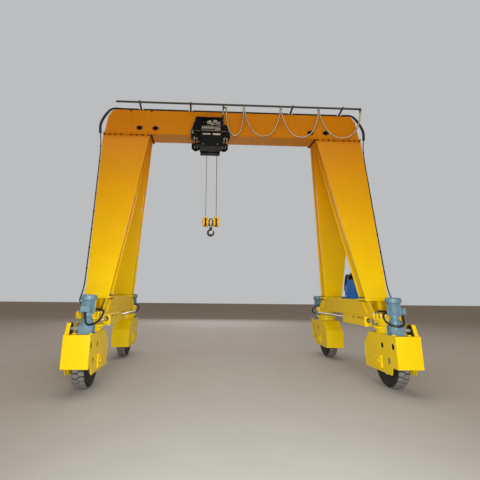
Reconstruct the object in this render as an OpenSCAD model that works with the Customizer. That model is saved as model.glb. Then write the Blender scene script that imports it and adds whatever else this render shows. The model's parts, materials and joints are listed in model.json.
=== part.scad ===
/* [Overall] */
// Distance between the left and right wheels, centre to centre
track = 6100; // [5000:50:8000]
// Distance between the front and rear wheels, centre to centre
wheelbase = 3700; // [3300:50:4600]
// Height of the girder's underside above the ground
girder_base = 6050; // [5200:50:7500]
// Height of the legs' foot joint above the ground
foot_level = 1700; // [1650:10:1900]

/* [Girder] */
// Depth of the girder from its underside to its top
girder_depth = 750; // [600:10:900]
// Length of the girder along its underside
girder_length = 7180; // [6900:20:7400]
// How much shorter the girder's top is at each end
girder_end_slope = 110; // [0:10:250]
// Radius of the girder's upper end corners
girder_end_radius = 160; // [60:10:250]
// Width over the girder's two webs
girder_web_width = 430; // [380:10:460]
// Width of the bottom flange that the trolley runs on
girder_flange_width = 580; // [560:10:620]
// Thickness of the girder's plates
girder_plate = 20; // [12:1:25]
// Diameter of the round holes in the girder's webs
web_hole = 125; // [80:5:200]

/* [Legs] */
// Width of a leg at its top, along the girder
leg_top_width = 1280; // [900:10:1300]
// Distance from a leg's inner edge to the middle of the crane, at the top
leg_top_inner = 2315; // [2200:5:2400]
// Thickness of a leg at its top, front to back
leg_top_depth = 265; // [220:5:290]
// Width of a leg at its foot
leg_foot_width = 500; // [420:10:560]
// Thickness of a leg at its foot, front to back
leg_foot_depth = 330; // [280:10:360]
// Distance from the middle of the crane to the outer face of a leg's foot
leg_foot_reach = 1500; // [1400:10:1560]
// Thickness of the plates on a leg's two broad faces
leg_face = 14; // [8:1:20]
// How far a leg's broad plates stand past its webs
leg_lip = 35; // [20:1:50]
// Thickness of the bolted joint plates
joint_plate = 25; // [16:1:35]
// How far the joint plates stand out past the legs
joint_lip = 60; // [40:5:80]

/* [Sills] */
// Width of a sill beam
sill_width = 460; // [400:10:480]
// Depth of a sill beam
sill_depth = 360; // [300:10:370]
// Distance from the middle of the crane to the outer end of a steering case
cylinder_reach = 1500; // [1300:10:1540]
// Diameter of a steering rod
rod_diameter = 55; // [40:5:60]

/* [Bogies] */
// Length of a wheel box from the steering axis to its outer end
box_outer = 724; // [680:2:760]
// Length of a wheel box from the steering axis to its inner end
box_inner = 606; // [580:2:640]
// Height of a wheel box's top above the ground
box_top = 1040; // [1000:5:1060]
// Height of the lower edge of the wheel box's side plates
box_bottom = 320; // [280:5:400]
// Height of the lower edge of the outer end plate
box_end_bottom = 460; // [400:5:520]
// Width of a wheel box
box_width = 480; // [460:5:520]
// Thickness of the wheel box's plates
box_plate = 12; // [8:1:16]
// Diameter of the round holes in the inner side plates
box_hole = 118; // [80:2:140]
// Diameter of the slewing flange
slew_flange = 570; // [520:10:660]
// Diameter of the slewing drum on the wheel box
slew_drum = 470; // [420:10:560]

/* [Wheels] */
// Outer diameter of a tyre
tyre_diameter = 1018; // [960:2:1060]
// Width of a tyre
tyre_width = 270; // [250:5:300]
// Diameter of the rim, at the tyre's bead
rim_diameter = 520; // [480:10:560]
// Diameter of the wheel axle
axle_diameter = 90; // [60:5:110]

/* [Hoist] */
// Distance from the middle of the crane to the trolley's middle
trolley_place = -650; // [-700:10:0]
// Distance from the trolley's middle to the middle of the rope falls
fall_offset = 50; // [0:5:80]
// Half the length of the trolley
trolley_half = 525; // [480:5:560]
// Width of the electric cabinet
cabinet_width = 580; // [480:10:600]
// Diameter of the hoist rope
rope_diameter = 12; // [8:1:16]
// Height of the hook block's top above the ground
block_top = 3790; // [3000:10:4500]

/* [Festoon] */
// Height of the festoon rail's top above the ground
rail_gap = 100; // [90:5:200]
// Distance from the girder's middle plane to the festoon rail
rail_reach = 520; // [480:10:600]
// Thickness of a festoon cable
festoon_cable = 22; // [16:1:26]
// Thickness of a gear motor's cable
motor_lead = 32; // [20:1:38]

/* [Hidden] */
$fn = 48;
// Clearance between flat faces that slide on each other
slide_gap = 0.3;
// Running clearance of a shaft in its bore, on the radius
shaft_gap = 0.05;
half_track = track / 2;
half_base = wheelbase / 2;
girder_top = girder_base + girder_depth;
web_half = girder_web_width / 2;
flange_half = girder_flange_width / 2;
tyre_radius = tyre_diameter / 2;
sill_bottom = foot_level - sill_depth;
slew_level = 1290;
base_top = 1325;
conduit = 44;

CORNERS = [["left_front", -1, -1], ["left_rear", -1, 1], ["right_front", 1, -1], ["right_rear", 1, 1]];

yellow = [0.95, 0.72, 0.05];
black = [0.08, 0.08, 0.09];

// A plate with its outline in X and Z, from y0 to y1
module plate_xz(outline, y0, y1) {
    translate([0, y1, 0]) rotate([90, 0, 0]) linear_extrude(height = y1 - y0) polygon(outline);
}

// A plate with its outline in Y and Z, from x0 to x1
module plate_yz(outline, x0, x1) {
    translate([x0, 0, 0]) rotate([90, 0, 90]) linear_extrude(height = x1 - x0) polygon(outline);
}

// A block between two corners
module block(low, high) {
    translate(low) cube(high - low);
}

// A round bar along X
module bar_x(x0, x1, y, z, d) {
    translate([x0, y, z]) rotate([0, 90, 0]) cylinder(h = x1 - x0, d = d);
}

// A round bar along Y
module bar_y(y0, y1, x, z, d) {
    translate([x, y1, z]) rotate([90, 0, 0]) cylinder(h = y1 - y0, d = d);
}

// Puts what is drawn for the right front corner at any of the four corners
module at_corner(side, end) {
    if (side < 0 && end > 0) rotate([0, 0, 180]) children();
    else if (side < 0) mirror([1, 0, 0]) children();
    else if (end > 0) mirror([0, 1, 0]) children();
    else children();
}

function unit(v) = v / norm(v);
// The direction of a route at one of its points
function heading(route, i) =
    i == 0 ? unit(route[1] - route[0]) :
    i == len(route) - 1 ? unit(route[i] - route[i - 1]) :
    unit(unit(route[i + 1] - route[i]) + unit(route[i] - route[i - 1]));
// The points of one ring round a route, at right angles to it
function ring(route, i, r, side, flats) =
    let (t = heading(route, i), u = unit(cross(side, t)), v = cross(t, u))
    [for (k = [0:flats - 1]) route[i] + r * (cos(360 * k / flats) * u + sin(360 * k / flats) * v)];

// A cable: a tube of eight flats along a route
module cable(route, diameter, side = [0, 1, 0]) {
    flats = 8;
    last = len(route) - 1;
    points = [for (i = [0:last]) each ring(route, i, diameter / 2, side, flats)];
    walls = [for (i = [0:last - 1]) for (k = [0:flats - 1])
        let (a = i * flats + k, b = i * flats + (k + 1) % flats)
        each [[a, a + flats, b + flats], [a, b + flats, b]]];
    start_cap = [[for (k = [0:flats - 1]) k]];
    end_cap = [[for (k = [flats - 1:-1:0]) last * flats + k]];
    polyhedron(points = points, faces = concat(start_cap, walls, end_cap));
}

/* Girder */
web_hole_places = [2190, 2630];
web_hole_level = girder_base + 210;
module girder() color(yellow) {
    half = girder_length / 2;
    difference() {
        intersection() {
            plate_xz([[-half, girder_base], [half, girder_base],
                      [half - girder_end_slope, girder_top], [girder_end_slope - half, girder_top]],
                     -web_half, web_half);
            union() {
                block([-half - 1, -web_half, girder_base],
                      [half + 1, web_half, girder_top - girder_end_radius]);
                block([girder_end_slope - half + girder_end_radius, -web_half, girder_base],
                      [half - girder_end_slope - girder_end_radius, web_half, girder_top]);
                for (s = [-1, 1])
                    bar_y(-web_half, web_half, s * (half - girder_end_slope - girder_end_radius - 12),
                          girder_top - girder_end_radius, 2 * girder_end_radius);
            }
        }
        block([-half + 300, -web_half + 10, girder_base + girder_plate],
              [half - 300, web_half - 10, girder_top - girder_plate]);
        for (x = web_hole_places) for (s = [-1, 1])
            bar_y(-web_half - 1, web_half + 1, s * x, web_hole_level, web_hole);
    }
    difference() {
        block([-half, -flange_half, girder_base], [half, flange_half, girder_base + girder_plate]);
        block([-half - 1, -web_half, girder_base - 1],
              [half + 1, web_half, girder_base + girder_plate + 1]);
    }
}

/* Legs */
leg_top_level = girder_base;
function lerp(a, b, f) = a + (b - a) * f;
foot_inner = half_track - leg_foot_width / 2;
// A leg tapers along the girder and leans outwards from its top to its foot
module leg_outline(inset) {
    x0 = foot_inner + inset;
    x1 = foot_inner + leg_foot_width - inset;
    x2 = leg_top_inner + leg_top_width - inset;
    x3 = leg_top_inner + inset;
    polygon([[x0, foot_level], [x1, foot_level], [x2, leg_top_level], [x3, leg_top_level]]);
}

// The side view between two slanting lines, given by their reach at the foot and at the top
module leg_lean(foot_in, foot_out, top_in, top_out) {
    plate_yz([[-foot_in, foot_level], [-top_in, leg_top_level],
              [-top_out, leg_top_level], [-foot_out, foot_level]], 0, girder_length);
}

module leg_sheet(inset, foot_in, foot_out, top_in, top_out) {
    intersection() {
        rotate([90, 0, 0]) linear_extrude(height = 4000, center = true) leg_outline(inset);
        leg_lean(foot_in, foot_out, top_in, top_out);
    }
}

module leg(side, end) color(yellow) at_corner(side, end) {
    low = foot_level + joint_plate;
    high = leg_top_level - joint_plate;
    intersection() {
        union() {
            leg_sheet(leg_lip, leg_foot_reach - leg_foot_depth, leg_foot_reach, slide_gap, leg_top_depth);
            leg_sheet(0, leg_foot_reach - leg_foot_depth, leg_foot_reach - leg_foot_depth + leg_face,
                      slide_gap, slide_gap + leg_face);
            leg_sheet(0, leg_foot_reach - leg_face, leg_foot_reach, leg_top_depth - leg_face, leg_top_depth);
        }
        block([0, -3000, low], [5000, 0, high]);
    }
    block([leg_top_inner - joint_lip, -leg_top_depth - joint_lip, high],
          [leg_top_inner + leg_top_width, -slide_gap, leg_top_level]);
    block([foot_inner - joint_lip / 2, -leg_foot_reach - joint_lip / 2, foot_level],
          [foot_inner + leg_foot_width + joint_lip / 2, -leg_foot_reach + leg_foot_depth + joint_lip / 2, low]);
}

/* Sill beams */
module sill_beam(side) color(yellow) {
    reach = leg_foot_reach - leg_foot_depth - joint_lip / 2;
    x0 = side * half_track - sill_width / 2;
    difference() {
        block([x0, -reach, sill_bottom], [x0 + sill_width, reach, foot_level]);
        block([x0 + 12, -reach - 1, sill_bottom + 14],
              [x0 + sill_width - 12, reach + 1, foot_level - 14]);
    }
}

/* Pedestals */
column_half = sill_width / 2;
// Seats the leg on top and the slewing ring below; its column slopes forward between two side plates
module pedestal(side, end) color(yellow) at_corner(side, end) {
    near = half_base - leg_foot_reach;
    far = near + leg_foot_depth + joint_lip / 2;
    under = foot_level - joint_plate;
    deck = base_top + 65;
    x = half_track;
    translate([0, -half_base, 0]) {
        for (s = [-1, 1])
            plate_yz([[far, sill_bottom], [far, under], [near - joint_lip / 2, under],
                      [near - 300, deck + 20], [near - 300, base_top], [near - 50, base_top],
                      [near - joint_lip / 2, sill_bottom]],
                     x + s * (column_half - 12) - 12, x + s * (column_half - 12) + 12);
        // Sloping lips along the column's rear edges
        for (s = [-1, 1])
            plate_yz([[near + 265, under], [near + 243, under], [near - 7, deck + 10], [near + 15, deck + 10]],
                     x + min(s * (column_half - 4), s * (column_half + 30)),
                     x + max(s * (column_half - 4), s * (column_half + 30)));
        // Web behind the open front, middle gusset and deck over the slewing ring
        block([x - column_half + 4, near + 240, deck], [x + column_half - 4, near + 260, under]);
        plate_yz([[near + 250, under], [near - 40, under], [near - 70, deck], [near + 250, deck]], x - 14, x + 14);
        block([x - column_half, -150, deck], [x + column_half, near + 260, deck + 20]);
        block([x - column_half + 4, near + 240, sill_bottom], [x + column_half - 4, far, sill_bottom + 16]);
        block([x - leg_foot_width / 2 - joint_lip / 2, near - joint_lip / 2, under],
              [x + leg_foot_width / 2 + joint_lip / 2, far, foot_level]);
        translate([x, 0, slew_level + slide_gap])
            cylinder(h = base_top - slew_level - slide_gap, d = slew_flange);
        translate([x, 0, base_top]) cylinder(h = deck - base_top, d = slew_drum - 60);
        // Conduit stub that the motor's cable runs into
        bar_y(near - 110, near + 250, x - 60, deck + 70, conduit);
        // Ring of clamping sleeves on the slewing ring
        for (a = [-200:20:20])
            translate([x, 0, base_top]) rotate([0, 0, a])
                translate([slew_flange / 2 - 28, 0, 0]) cylinder(h = 90, d = 44, $fn = 24);
    }
}

/* Steering cylinders */
rod_x = half_track - 250;
rod_level = 1260;
case_half = 65;
case_inner_end = -260;
module steering_cylinder(side) color(yellow) at_corner(side, -1) {
    low = rod_level - 120;
    wall = 10;
    difference() {
        union() {
            difference() {
                block([rod_x - case_half, -cylinder_reach, low], [rod_x + case_half, case_inner_end, sill_bottom]);
                block([rod_x - case_half + wall, -cylinder_reach + wall, low + wall],
                      [rod_x + case_half - wall, case_inner_end - wall, sill_bottom - wall]);
                // Two slots in the inner side
                block([rod_x - case_half - 1, -cylinder_reach + 30, rod_level + 26],
                      [rod_x - case_half + wall + 1, -cylinder_reach + 400, rod_level + 56]);
                block([rod_x - case_half - 1, -cylinder_reach + 530, rod_level + 26],
                      [rod_x - case_half + wall + 1, -cylinder_reach + 670, rod_level + 56]);
            }
            block([rod_x - case_half - 12, -cylinder_reach - 16, low - 10],
                  [rod_x + case_half + 12, -cylinder_reach, sill_bottom]);
            bar_y(-cylinder_reach, case_inner_end, rod_x, rod_level, 100);
            bar_y(-cylinder_reach - 40, -cylinder_reach, rod_x, rod_level, 90);
            bar_y(case_inner_end, case_inner_end + 40, rod_x, rod_level, 90);
        }
        bar_y(-cylinder_reach - 50, case_inner_end + 50, rod_x, rod_level, rod_diameter + 2 * shaft_gap);
    }
}

// One fork and its rod: reach is how far the rod runs from the pin towards the cylinder
module fork(reach) {
    high = 25;
    difference() {
        union() {
            block([-30, -34, -high], [30, 90, high]);
            bar_y(60, reach, 0, 0, rod_diameter);
        }
        block([-31, -35, -18], [31, 64, 18]);
        translate([0, 0, -60]) cylinder(h = 120, d = 34);
    }
}

module steering_rod(side, end) color([0.2, 0.2, 0.22]) at_corner(side, -1)
translate([rod_x, end * half_base, rod_level])
if (end < 0) fork(half_base - cylinder_reach + 350);
else rotate([0, 0, 180]) fork(half_base + 400);

/* Wheel boxes */
chain_side = box_width / 2 - 60;
keeper = 240;
motor_x = -80;
motor_y = -470;
sprocket = 190;
hole_places = [[170, 825], [590, 845], [390, 570]];
module wheel_box(side, end) color(yellow) at_corner(side, end)
translate([half_track, -half_base, 0]) {
    w = box_width / 2;
    t = box_plate;
    difference() {
        plate_yz([[-box_outer, box_end_bottom], [-box_outer, box_top], [349, box_top],
                  [box_inner, box_top - 258], [box_inner, box_bottom],
                  [-box_outer + 265, box_bottom], [-box_outer + 205, box_end_bottom]], -w, w);
        plate_yz([[-box_outer + t, 0], [-box_outer + t, box_top - t], [345, box_top - t],
                  [box_inner - t, box_top - 263], [box_inner - t, 0]], -w + t, chain_side);
        plate_yz([[-box_outer + t, 0], [-box_outer + t, box_top - t], [345, box_top - t],
                  [box_inner - t, box_top - 263], [box_inner - t, 0]], chain_side + t, w - t);
        for (p = hole_places) bar_x(-w - 1, -w + t + 1, -p[0], p[1], box_hole);
        // Slot that the drive chain comes up through
        block([chain_side + t + 2, motor_y - 130, box_top - t - 1], [w - t - 2, motor_y + 130, box_top + 1]);
    }
    // Keeper pad round the axle's inner end
    block([-w - 25, -keeper / 2, tyre_radius - keeper / 2], [-w, keeper / 2, tyre_radius + keeper / 2]);
    plate_yz([[-box_outer, box_top], [-box_outer + 264, box_top + 42], [-box_outer + 264, box_top + 205],
              [-300, box_top + 205], [-240, box_top]], w - t, w);
    // Axle across the box, with its keeper bosses
    bar_x(-w - 45, chain_side + t + 20, 0, tyre_radius, axle_diameter);
    bar_x(chain_side + t + 4, chain_side + t + 28, 0, tyre_radius, sprocket * 2);
    // Slewing drum, flange and steering arm
    translate([0, 0, box_top]) cylinder(h = slew_level - box_top, d = slew_drum - 80);
    translate([0, 0, box_top]) cylinder(h = 120, d = slew_drum);
    translate([0, 0, 1140]) cylinder(h = 35, d = slew_flange);
    difference() {
        union() {
            block([rod_x - half_track, -32, rod_level - 12], [-150, 32, rod_level + 12]);
            translate([rod_x - half_track, 0, rod_level - 12]) cylinder(h = 24, r = 32);
        }
        translate([rod_x - half_track, 0, rod_level - 20]) cylinder(h = 40, d = 34);
    }
}

/* Gear motors */
// The motor stands on a right-angled gear unit; its terminal box faces outwards on the right side of the
// crane and forwards on the left side
module gear_motor(side, end) color([0.55, 0.67, 0.75]) at_corner(side, end)
translate([half_track + motor_x, -half_base + motor_y, box_top]) {
    level = 92;
    disc = chain_side + box_plate + 5 - motor_x;
    block([-150, -120, 0], [130, 120, 18]);
    block([-125, -95, 18], [110, 95, level]);
    bar_x(-140, 120, 0, level + 10, 170);
    bar_x(120, 135, 0, level, 150);
    translate([0, 0, level]) cylinder(h = 160, d = 186);
    for (s = [-1, 1]) block([-100, s * 60 - 8, level], [-80, s * 60 + 8, level + 150]);
    rotate_extrude() polygon([[0, 240], [112, 240], [112, 262], [92, 272], [70, 318], [70, 345],
        [102, 345], [102, 362], [112, 370], [112, 588], [146, 612], [150, 622], [150, 690], [128, 704], [0, 704]]);
    rotate([0, 0, side > 0 ? 0 : -90]) {
        block([80, -60, 405], [112, 60, 500]);
        block([110, -85, 397], [195, 85, 510]);
    }
    bar_x(130, disc, 0, level, 60);
    bar_x(disc, disc + 22, 0, level, sprocket);
}

/* Wheels */
module wheel_at(side, end) {
    at_corner(side, end) translate([half_track, -half_base, tyre_radius]) rotate([0, 90, 0]) children();
}

module tyre(side, end) color(black) wheel_at(side, end) {
    r = tyre_radius;
    b = rim_diameter / 2;
    h = tyre_width / 2;
    rotate_extrude($fn = 96) polygon([[b, -h + 45], [b + 60, -h + 8], [r - 150, -h], [r - 60, -h + 10],
        [r - 14, -h + 30], [r, -h + 60], [r, h - 60], [r - 14, h - 30], [r - 60, h - 10],
        [r - 150, h], [b + 60, h - 8], [b, h - 45]]);
}

module rim(side, end) color([0.9, 0.9, 0.85]) wheel_at(side, end) {
    b = rim_diameter / 2;
    h = tyre_width / 2;
    a = axle_diameter / 2 + shaft_gap;
    rotate_extrude($fn = 96) polygon([[a, -h + 10], [a + 40, -h + 10], [a + 40, -20], [b - 22, -20],
        [b - 22, -h + 46], [b, -h + 46], [b, h - 46], [b - 22, h - 46], [b - 22, 0], [a + 40, 0],
        [a + 40, h + 6], [a, h + 6]]);
}

/* Motor cables */
// Each runs from the terminal box, in a loop beside the gear unit, back to the pedestal's conduit stub
box_exit_y = -half_base + motor_y;
stub_y = -leg_foot_reach - 110;
stub_z = base_top + 135;
motor_cable_right = [
    [half_track + motor_x + 150, box_exit_y - 20, box_top + 396.7],
    [half_track + motor_x + 150, box_exit_y - 20, box_top + 350],
    [half_track + motor_x, box_exit_y - 200, box_top + 190],
    [half_track + motor_x - 195, box_exit_y, box_top + 240],
    [half_track + motor_x - 150, box_exit_y + 200, box_top + 405],
    [half_track - 60, stub_y - 60, stub_z],
    [half_track - 60, stub_y - 0.3, stub_z]
];
motor_cable_left = [
    [half_track + motor_x, box_exit_y - 155, box_top + 396.7],
    [half_track + motor_x, box_exit_y - 155, box_top + 350],
    [half_track + motor_x - 60, box_exit_y - 170, box_top + 180],
    [half_track + motor_x - 190, box_exit_y + 60, box_top + 215],
    [half_track + motor_x - 235, box_exit_y + 260, box_top + 388],
    [half_track - 60, stub_y - 40, stub_z],
    [half_track - 60, stub_y - 0.3, stub_z]
];
module motor_cable(side, end) color(black) at_corner(side, end) {
    cable(side > 0 ? motor_cable_right : motor_cable_left, motor_lead, [0.3, 1, 0.2]);
}

/* Hydraulic unit */
tank_top = foot_level + 440;
module hydraulic_tank() color([0.05, 0.3, 0.65]) {
    block([half_track - 210, -930, foot_level + slide_gap], [half_track + 170, -340, tank_top]);
    block([half_track - 222, -942, tank_top], [half_track + 182, -328, tank_top + 12]);
    for (y = [-900, -385]) block([half_track - 225, y, foot_level + slide_gap], [half_track + 185, y + 15, foot_level + 60]);
}

// Motor with its pump flange, and the valve block beside it, on one base plate
module pump_motor() color(black) {
    base = tank_top + 12;
    block([half_track - 195, -800, base], [half_track + 20, -380, base + 12]);
    translate([half_track - 90, -680, base + 12]) {
        cylinder(h = 20, d = 190);
        translate([0, 0, 20]) cylinder(h = 26, d = 120);
        translate([0, 0, 46]) cylinder(h = 150, d = 150);
        translate([0, 0, 196]) cylinder(h = 34, d = 164);
        block([-110, -40, 90], [-70, 40, 160]);
    }
    block([half_track - 185, -540, base + 12], [half_track - 20, -400, base + 95]);
    for (y = [-515, -470, -425]) bar_x(half_track - 190, half_track - 60, y, base + 120, 38);
    for (y = [-515, -470, -425]) block([half_track - 140, y - 16, base + 90], [half_track - 80, y + 16, base + 120]);
}

/* Festoon */
rail_top = girder_top + rail_gap;
rail_y = -rail_reach;
clamp_level = rail_top - 110;
module festoon_rail() color([0.3, 0.32, 0.33]) {
    difference() {
        block([-3250, rail_y - 20, rail_top - 40], [3580, rail_y + 20, rail_top]);
        block([-3260, rail_y - 17, rail_top - 37], [3590, rail_y + 17, rail_top - 3]);
        block([-3260, rail_y - 8, rail_top - 41], [3590, rail_y + 8, rail_top - 30]);
    }
    for (x = [-2620, -1220, 1640, 3060])
        plate_yz([[rail_y - 20, rail_top], [rail_y - 20, rail_top + 22], [rail_y + 20, rail_top + 22],
                  [-100, girder_top + 32], [-40, girder_top + 32], [-40, girder_top],
                  [-140, girder_top], [-140, girder_top + 15], [rail_y + 20, rail_top]], x - 25, x + 25);
    block([3525, rail_y - 30, clamp_level], [3565, rail_y + 30, rail_top - 40]);
}

carrier_places = [260, 1290, 2360];
module carrier_body(x) {
    block([x - 20, rail_y - 30, clamp_level], [x + 20, rail_y + 30, clamp_level + 50]);
    block([x - 15, rail_y - 3, clamp_level + 50], [x + 15, rail_y + 3, rail_top - 20]);
    bar_y(rail_y - 16, rail_y + 16, x, rail_top - 18.5, 24);
}

module festoon_carrier(i) color([0.75, 0.76, 0.76]) {
    carrier_body(carrier_places[i - 1]);
}

// Each loop's points: distance along the girder, and drop below the clamps
loop_routes = [
    [[-231, 0], [-231, 60], [-205, 430], [-110, 740], [10, 830], [125, 740], [215, 430], [248, 60], [248, 0]],
    [[272, 0], [272, 60], [370, 430], [545, 730], [775, 825], [1005, 730], [1180, 430], [1278, 60],
     [1278, 0]],
    [[1302, 0], [1302, 60], [1400, 430], [1580, 730], [1825, 820], [2070, 730], [2250, 430], [2348, 60],
     [2348, 0]],
    [[2372, 0], [2372, 60], [2480, 430], [2690, 720], [2960, 810], [3230, 720], [3440, 430], [3545, 60],
     [3545, 0]]
];
module festoon_loop(i) color([0.8, 0.5, 0.3]) {
    cable([for (p = loop_routes[i - 1]) [p[0], rail_y, clamp_level - slide_gap - p[1]]], festoon_cable);
}

/* Power cable */
// Where a leg's outer edge and front face are at a height
function leg_share(z) = (z - foot_level) / (girder_base - foot_level);
function leg_side(z) = lerp(half_track + leg_foot_width / 2, leg_top_inner + leg_top_width, leg_share(z));
function leg_front(z) = -lerp(leg_foot_reach, leg_top_depth, leg_share(z));
// A point of the cable beside the leg: how far out, how far back from the front face, and its height
function beside_leg(out, back, z) = [leg_side(z) + out, leg_front(z) + back, z];
girder_lead = 26;
lead_level = girder_top + girder_lead / 2 + 0.5;
girder_tip = girder_length / 2;
power_cable_half = [
    [half_track + column_half + 0.3, -leg_foot_reach - 80, foot_level - 140],
    [half_track + column_half + 50, -leg_foot_reach - 80, foot_level - 140],
    [half_track + column_half + 72, -leg_foot_reach - 40, foot_level - 30],
    beside_leg(46, 37, foot_level + 80),
    beside_leg(32, 36, 4200),
    beside_leg(46, 20, 5750),
    [girder_tip + 78, -320, girder_base + 30], [girder_tip + 100, -300, girder_base + 250],
    [girder_tip + 50, -240, girder_base + 510], [girder_tip - 60, -200, girder_top - 40],
    [girder_tip - 190, -200, lead_level], [girder_tip - 590, -200, lead_level]
];
power_cable_route = concat([for (p = power_cable_half) [-p[0], p[1], p[2]]],
                           [for (i = [len(power_cable_half) - 1:-1:0]) power_cable_half[i]]);
module power_cable() color(black) cable(power_cable_route, girder_lead);

/* Trolley */
tie_level = girder_base - 130;
plate_y = flange_half + 40;
// Outlines of the two cheek plates: distance from the trolley's middle, height from the girder's underside
cheek_left = [[-280, 500], [-418, 500], [-trolley_half - 15, 96], [-trolley_half - 9, -140],
              [-455, -215], [-380, -215], [-280, -150]];
cheek_right = [[280, 339], [334, 339], [454, 282], [trolley_half + 12, -11], [trolley_half, -142],
               [455, -215], [380, -215], [280, -150]];
module trolley_frame() color(black) translate([trolley_place, 0, girder_base]) {
    tie = tie_level - girder_base;
    low = rope_top - girder_base;
    for (e = [-1, 1]) for (outline = [cheek_left, cheek_right])
        difference() {
            plate_xz(outline, min(e * plate_y, e * (plate_y + 20)), max(e * plate_y, e * (plate_y + 20)));
            // Access hole in each cheek
            bar_y(-plate_y - 21, plate_y + 21, outline[1][0] < 0 ? -410 : 410, 15, 90);
        }
    for (s = [-1, 1]) for (d = [-38, 38])
        bar_y(-plate_y - 36, plate_y + 36, s * 410 + d, tie, 36);
    // Yoke under the girder and the rope sheave housing that hangs from it
    block([-470, -70, tie - 40], [470, 70, tie + 8]);
    difference() {
        block([-275, -110, low], [275, 110, tie - 30]);
        for (s = [-1, 1]) block([s * 140 - 110, -111, low + 60], [s * 140 + 110, -94, tie - 70]);
        for (s = [-1, 1]) block([s * 140 - 110, 94, low + 60], [s * 140 + 110, 111, tie - 70]);
    }
    // Frame plate behind the cabinet
    block([-418, -plate_y - 40, 150], [320, -plate_y - 20, 500]);
    block([-418, -plate_y - 90, 480], [320, -plate_y - 20, 500]);
}

wheel_level = girder_base + girder_plate + 80 + slide_gap;
module trolley_wheels() color([0.35, 0.35, 0.36]) translate([trolley_place, 0, 0]) {
    for (s = [-1, 1]) for (d = [-85, 85]) for (e = [-1, 1]) {
        bar_y(min(e * (web_half + 12), e * (flange_half - 10)), max(e * (web_half + 12), e * (flange_half - 10)),
              s * 410 + d, wheel_level, 160);
        bar_y(min(e * (flange_half - 10), e * plate_y), max(e * (flange_half - 10), e * plate_y),
              s * 410 + d, wheel_level, 50);
    }
}

// The upper half of the cabinet is an open bay with switchgear on a back plate
module electric_cabinet() color(black) translate([trolley_place, 0, girder_base]) {
    w = cabinet_width / 2;
    front = -740;
    difference() {
        block([-w, front, -500], [w, -plate_y - 40, 320]);
        block([-w + 20, front - 1, -70], [w - 20, front + 180, 300]);
    }
    for (i = [0:3]) block([-230 + 62 * i, front + 90, 160], [-180 + 62 * i, front + 181, 265]);
    block([60, front + 60, 130], [165, front + 181, 280]);
    for (i = [0:6]) block([-240 + 52 * i, front + 110, 30], [-200 + 52 * i, front + 181, 110]);
    block([-250, front + 130, 120], [240, front + 181, 135]);
    block([-250, front + 120, -40], [200, front + 181, 12]);
    bar_y(front + 100, front + 181, 205, 200, 70);
    block([-w - 14, front + 20, -470], [-w, -plate_y - 60, -440]);
    block([w, front + 20, -470], [w + 14, -plate_y - 60, -440]);
    block([-w + 30, front - 8, -440], [w - 30, front, -110]);
}

drum_groove = 36;
module rope_drum() color(black) translate([trolley_place, 560, girder_base + 60]) {
    rotate([0, 90, 0]) rotate_extrude() polygon(concat([[0, -276], [200, -276], [200, -262]],
        [for (i = [0:13]) each [[170, -252 + i * drum_groove], [170, -236 + i * drum_groove],
                                [160, -229 + i * drum_groove], [160, -224 + i * drum_groove]]],
        [[170, 252], [200, 262], [200, 276], [0, 276]]));
    bar_x(-450, -276, 0, 0, 240);
    block([-470, -140, -110], [-300, 110, 120]);
    bar_x(-520, -470, 0, 0, 190);
    bar_x(276, 300, 0, 0, 300);
    bar_x(300, 440, 0, 0, 236);
    bar_x(440, 490, 0, 0, 262);
    for (s = [-1, 1])
        plate_yz([[plate_y - 540, -200], [plate_y - 540, 190], [-80, 210], [170, 90], [170, -70], [40, -200]],
                 s * 288 - 12, s * 288 + 12);
}

// Arm on the trolley that pulls the festoon cable along
module tow_arm() color(black) translate([trolley_place, 0, 0]) {
    x = 340;
    block([x - 18, -plate_y - 40, girder_base + 240], [x + 18, -plate_y - 20, rail_top - 70]);
    block([x - 18, rail_y - 30, rail_top - 80], [x + 18, -plate_y - 20, rail_top - 70]);
    block([x - 15, rail_y - 30, clamp_level], [x + 75, rail_y + 30, clamp_level + 12]);
    block([x - 15, rail_y - 30, clamp_level], [x + 18, rail_y + 30, rail_top - 80]);
}

/* Hook block */
fall_middle = trolley_place + fall_offset;
fall_x = 142;
fall_y = 100;
rope_top = girder_base - 440;
module hoist_ropes() color([0.5, 0.5, 0.5]) translate([fall_middle, 0, 0]) {
    for (sx = [-1, 1]) for (sy = [-1, 1])
        translate([sx * fall_x, sy * fall_y / 2, block_top + slide_gap])
            cylinder(h = rope_top - block_top - slide_gap, d = rope_diameter, $fn = 16);
}

sheave_level = block_top - 130;
module hook_block() color(yellow) translate([fall_middle, 0, sheave_level]) {
    // Sheave guards, each with a waist that shows the sheave's rim
    for (s = [-1, 1]) {
        bar_x(s * fall_x - 72, s * fall_x - 24, 0, 0, 260);
        bar_x(s * fall_x + 24, s * fall_x + 72, 0, 0, 260);
        bar_x(s * fall_x - 24, s * fall_x + 24, 0, 0, 236);
        block([s * fall_x - 60, -72, 0], [s * fall_x + 60, 72, 130]);
        bar_x(s * (fall_x + 72) - 10, s * (fall_x + 72) + 10, 0, 0, 90);
    }
    difference() {
        block([-70, -70, -90], [70, 70, 40]);
        translate([0, 0, -100]) cylinder(h = 150, d = 60);
    }
}

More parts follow.
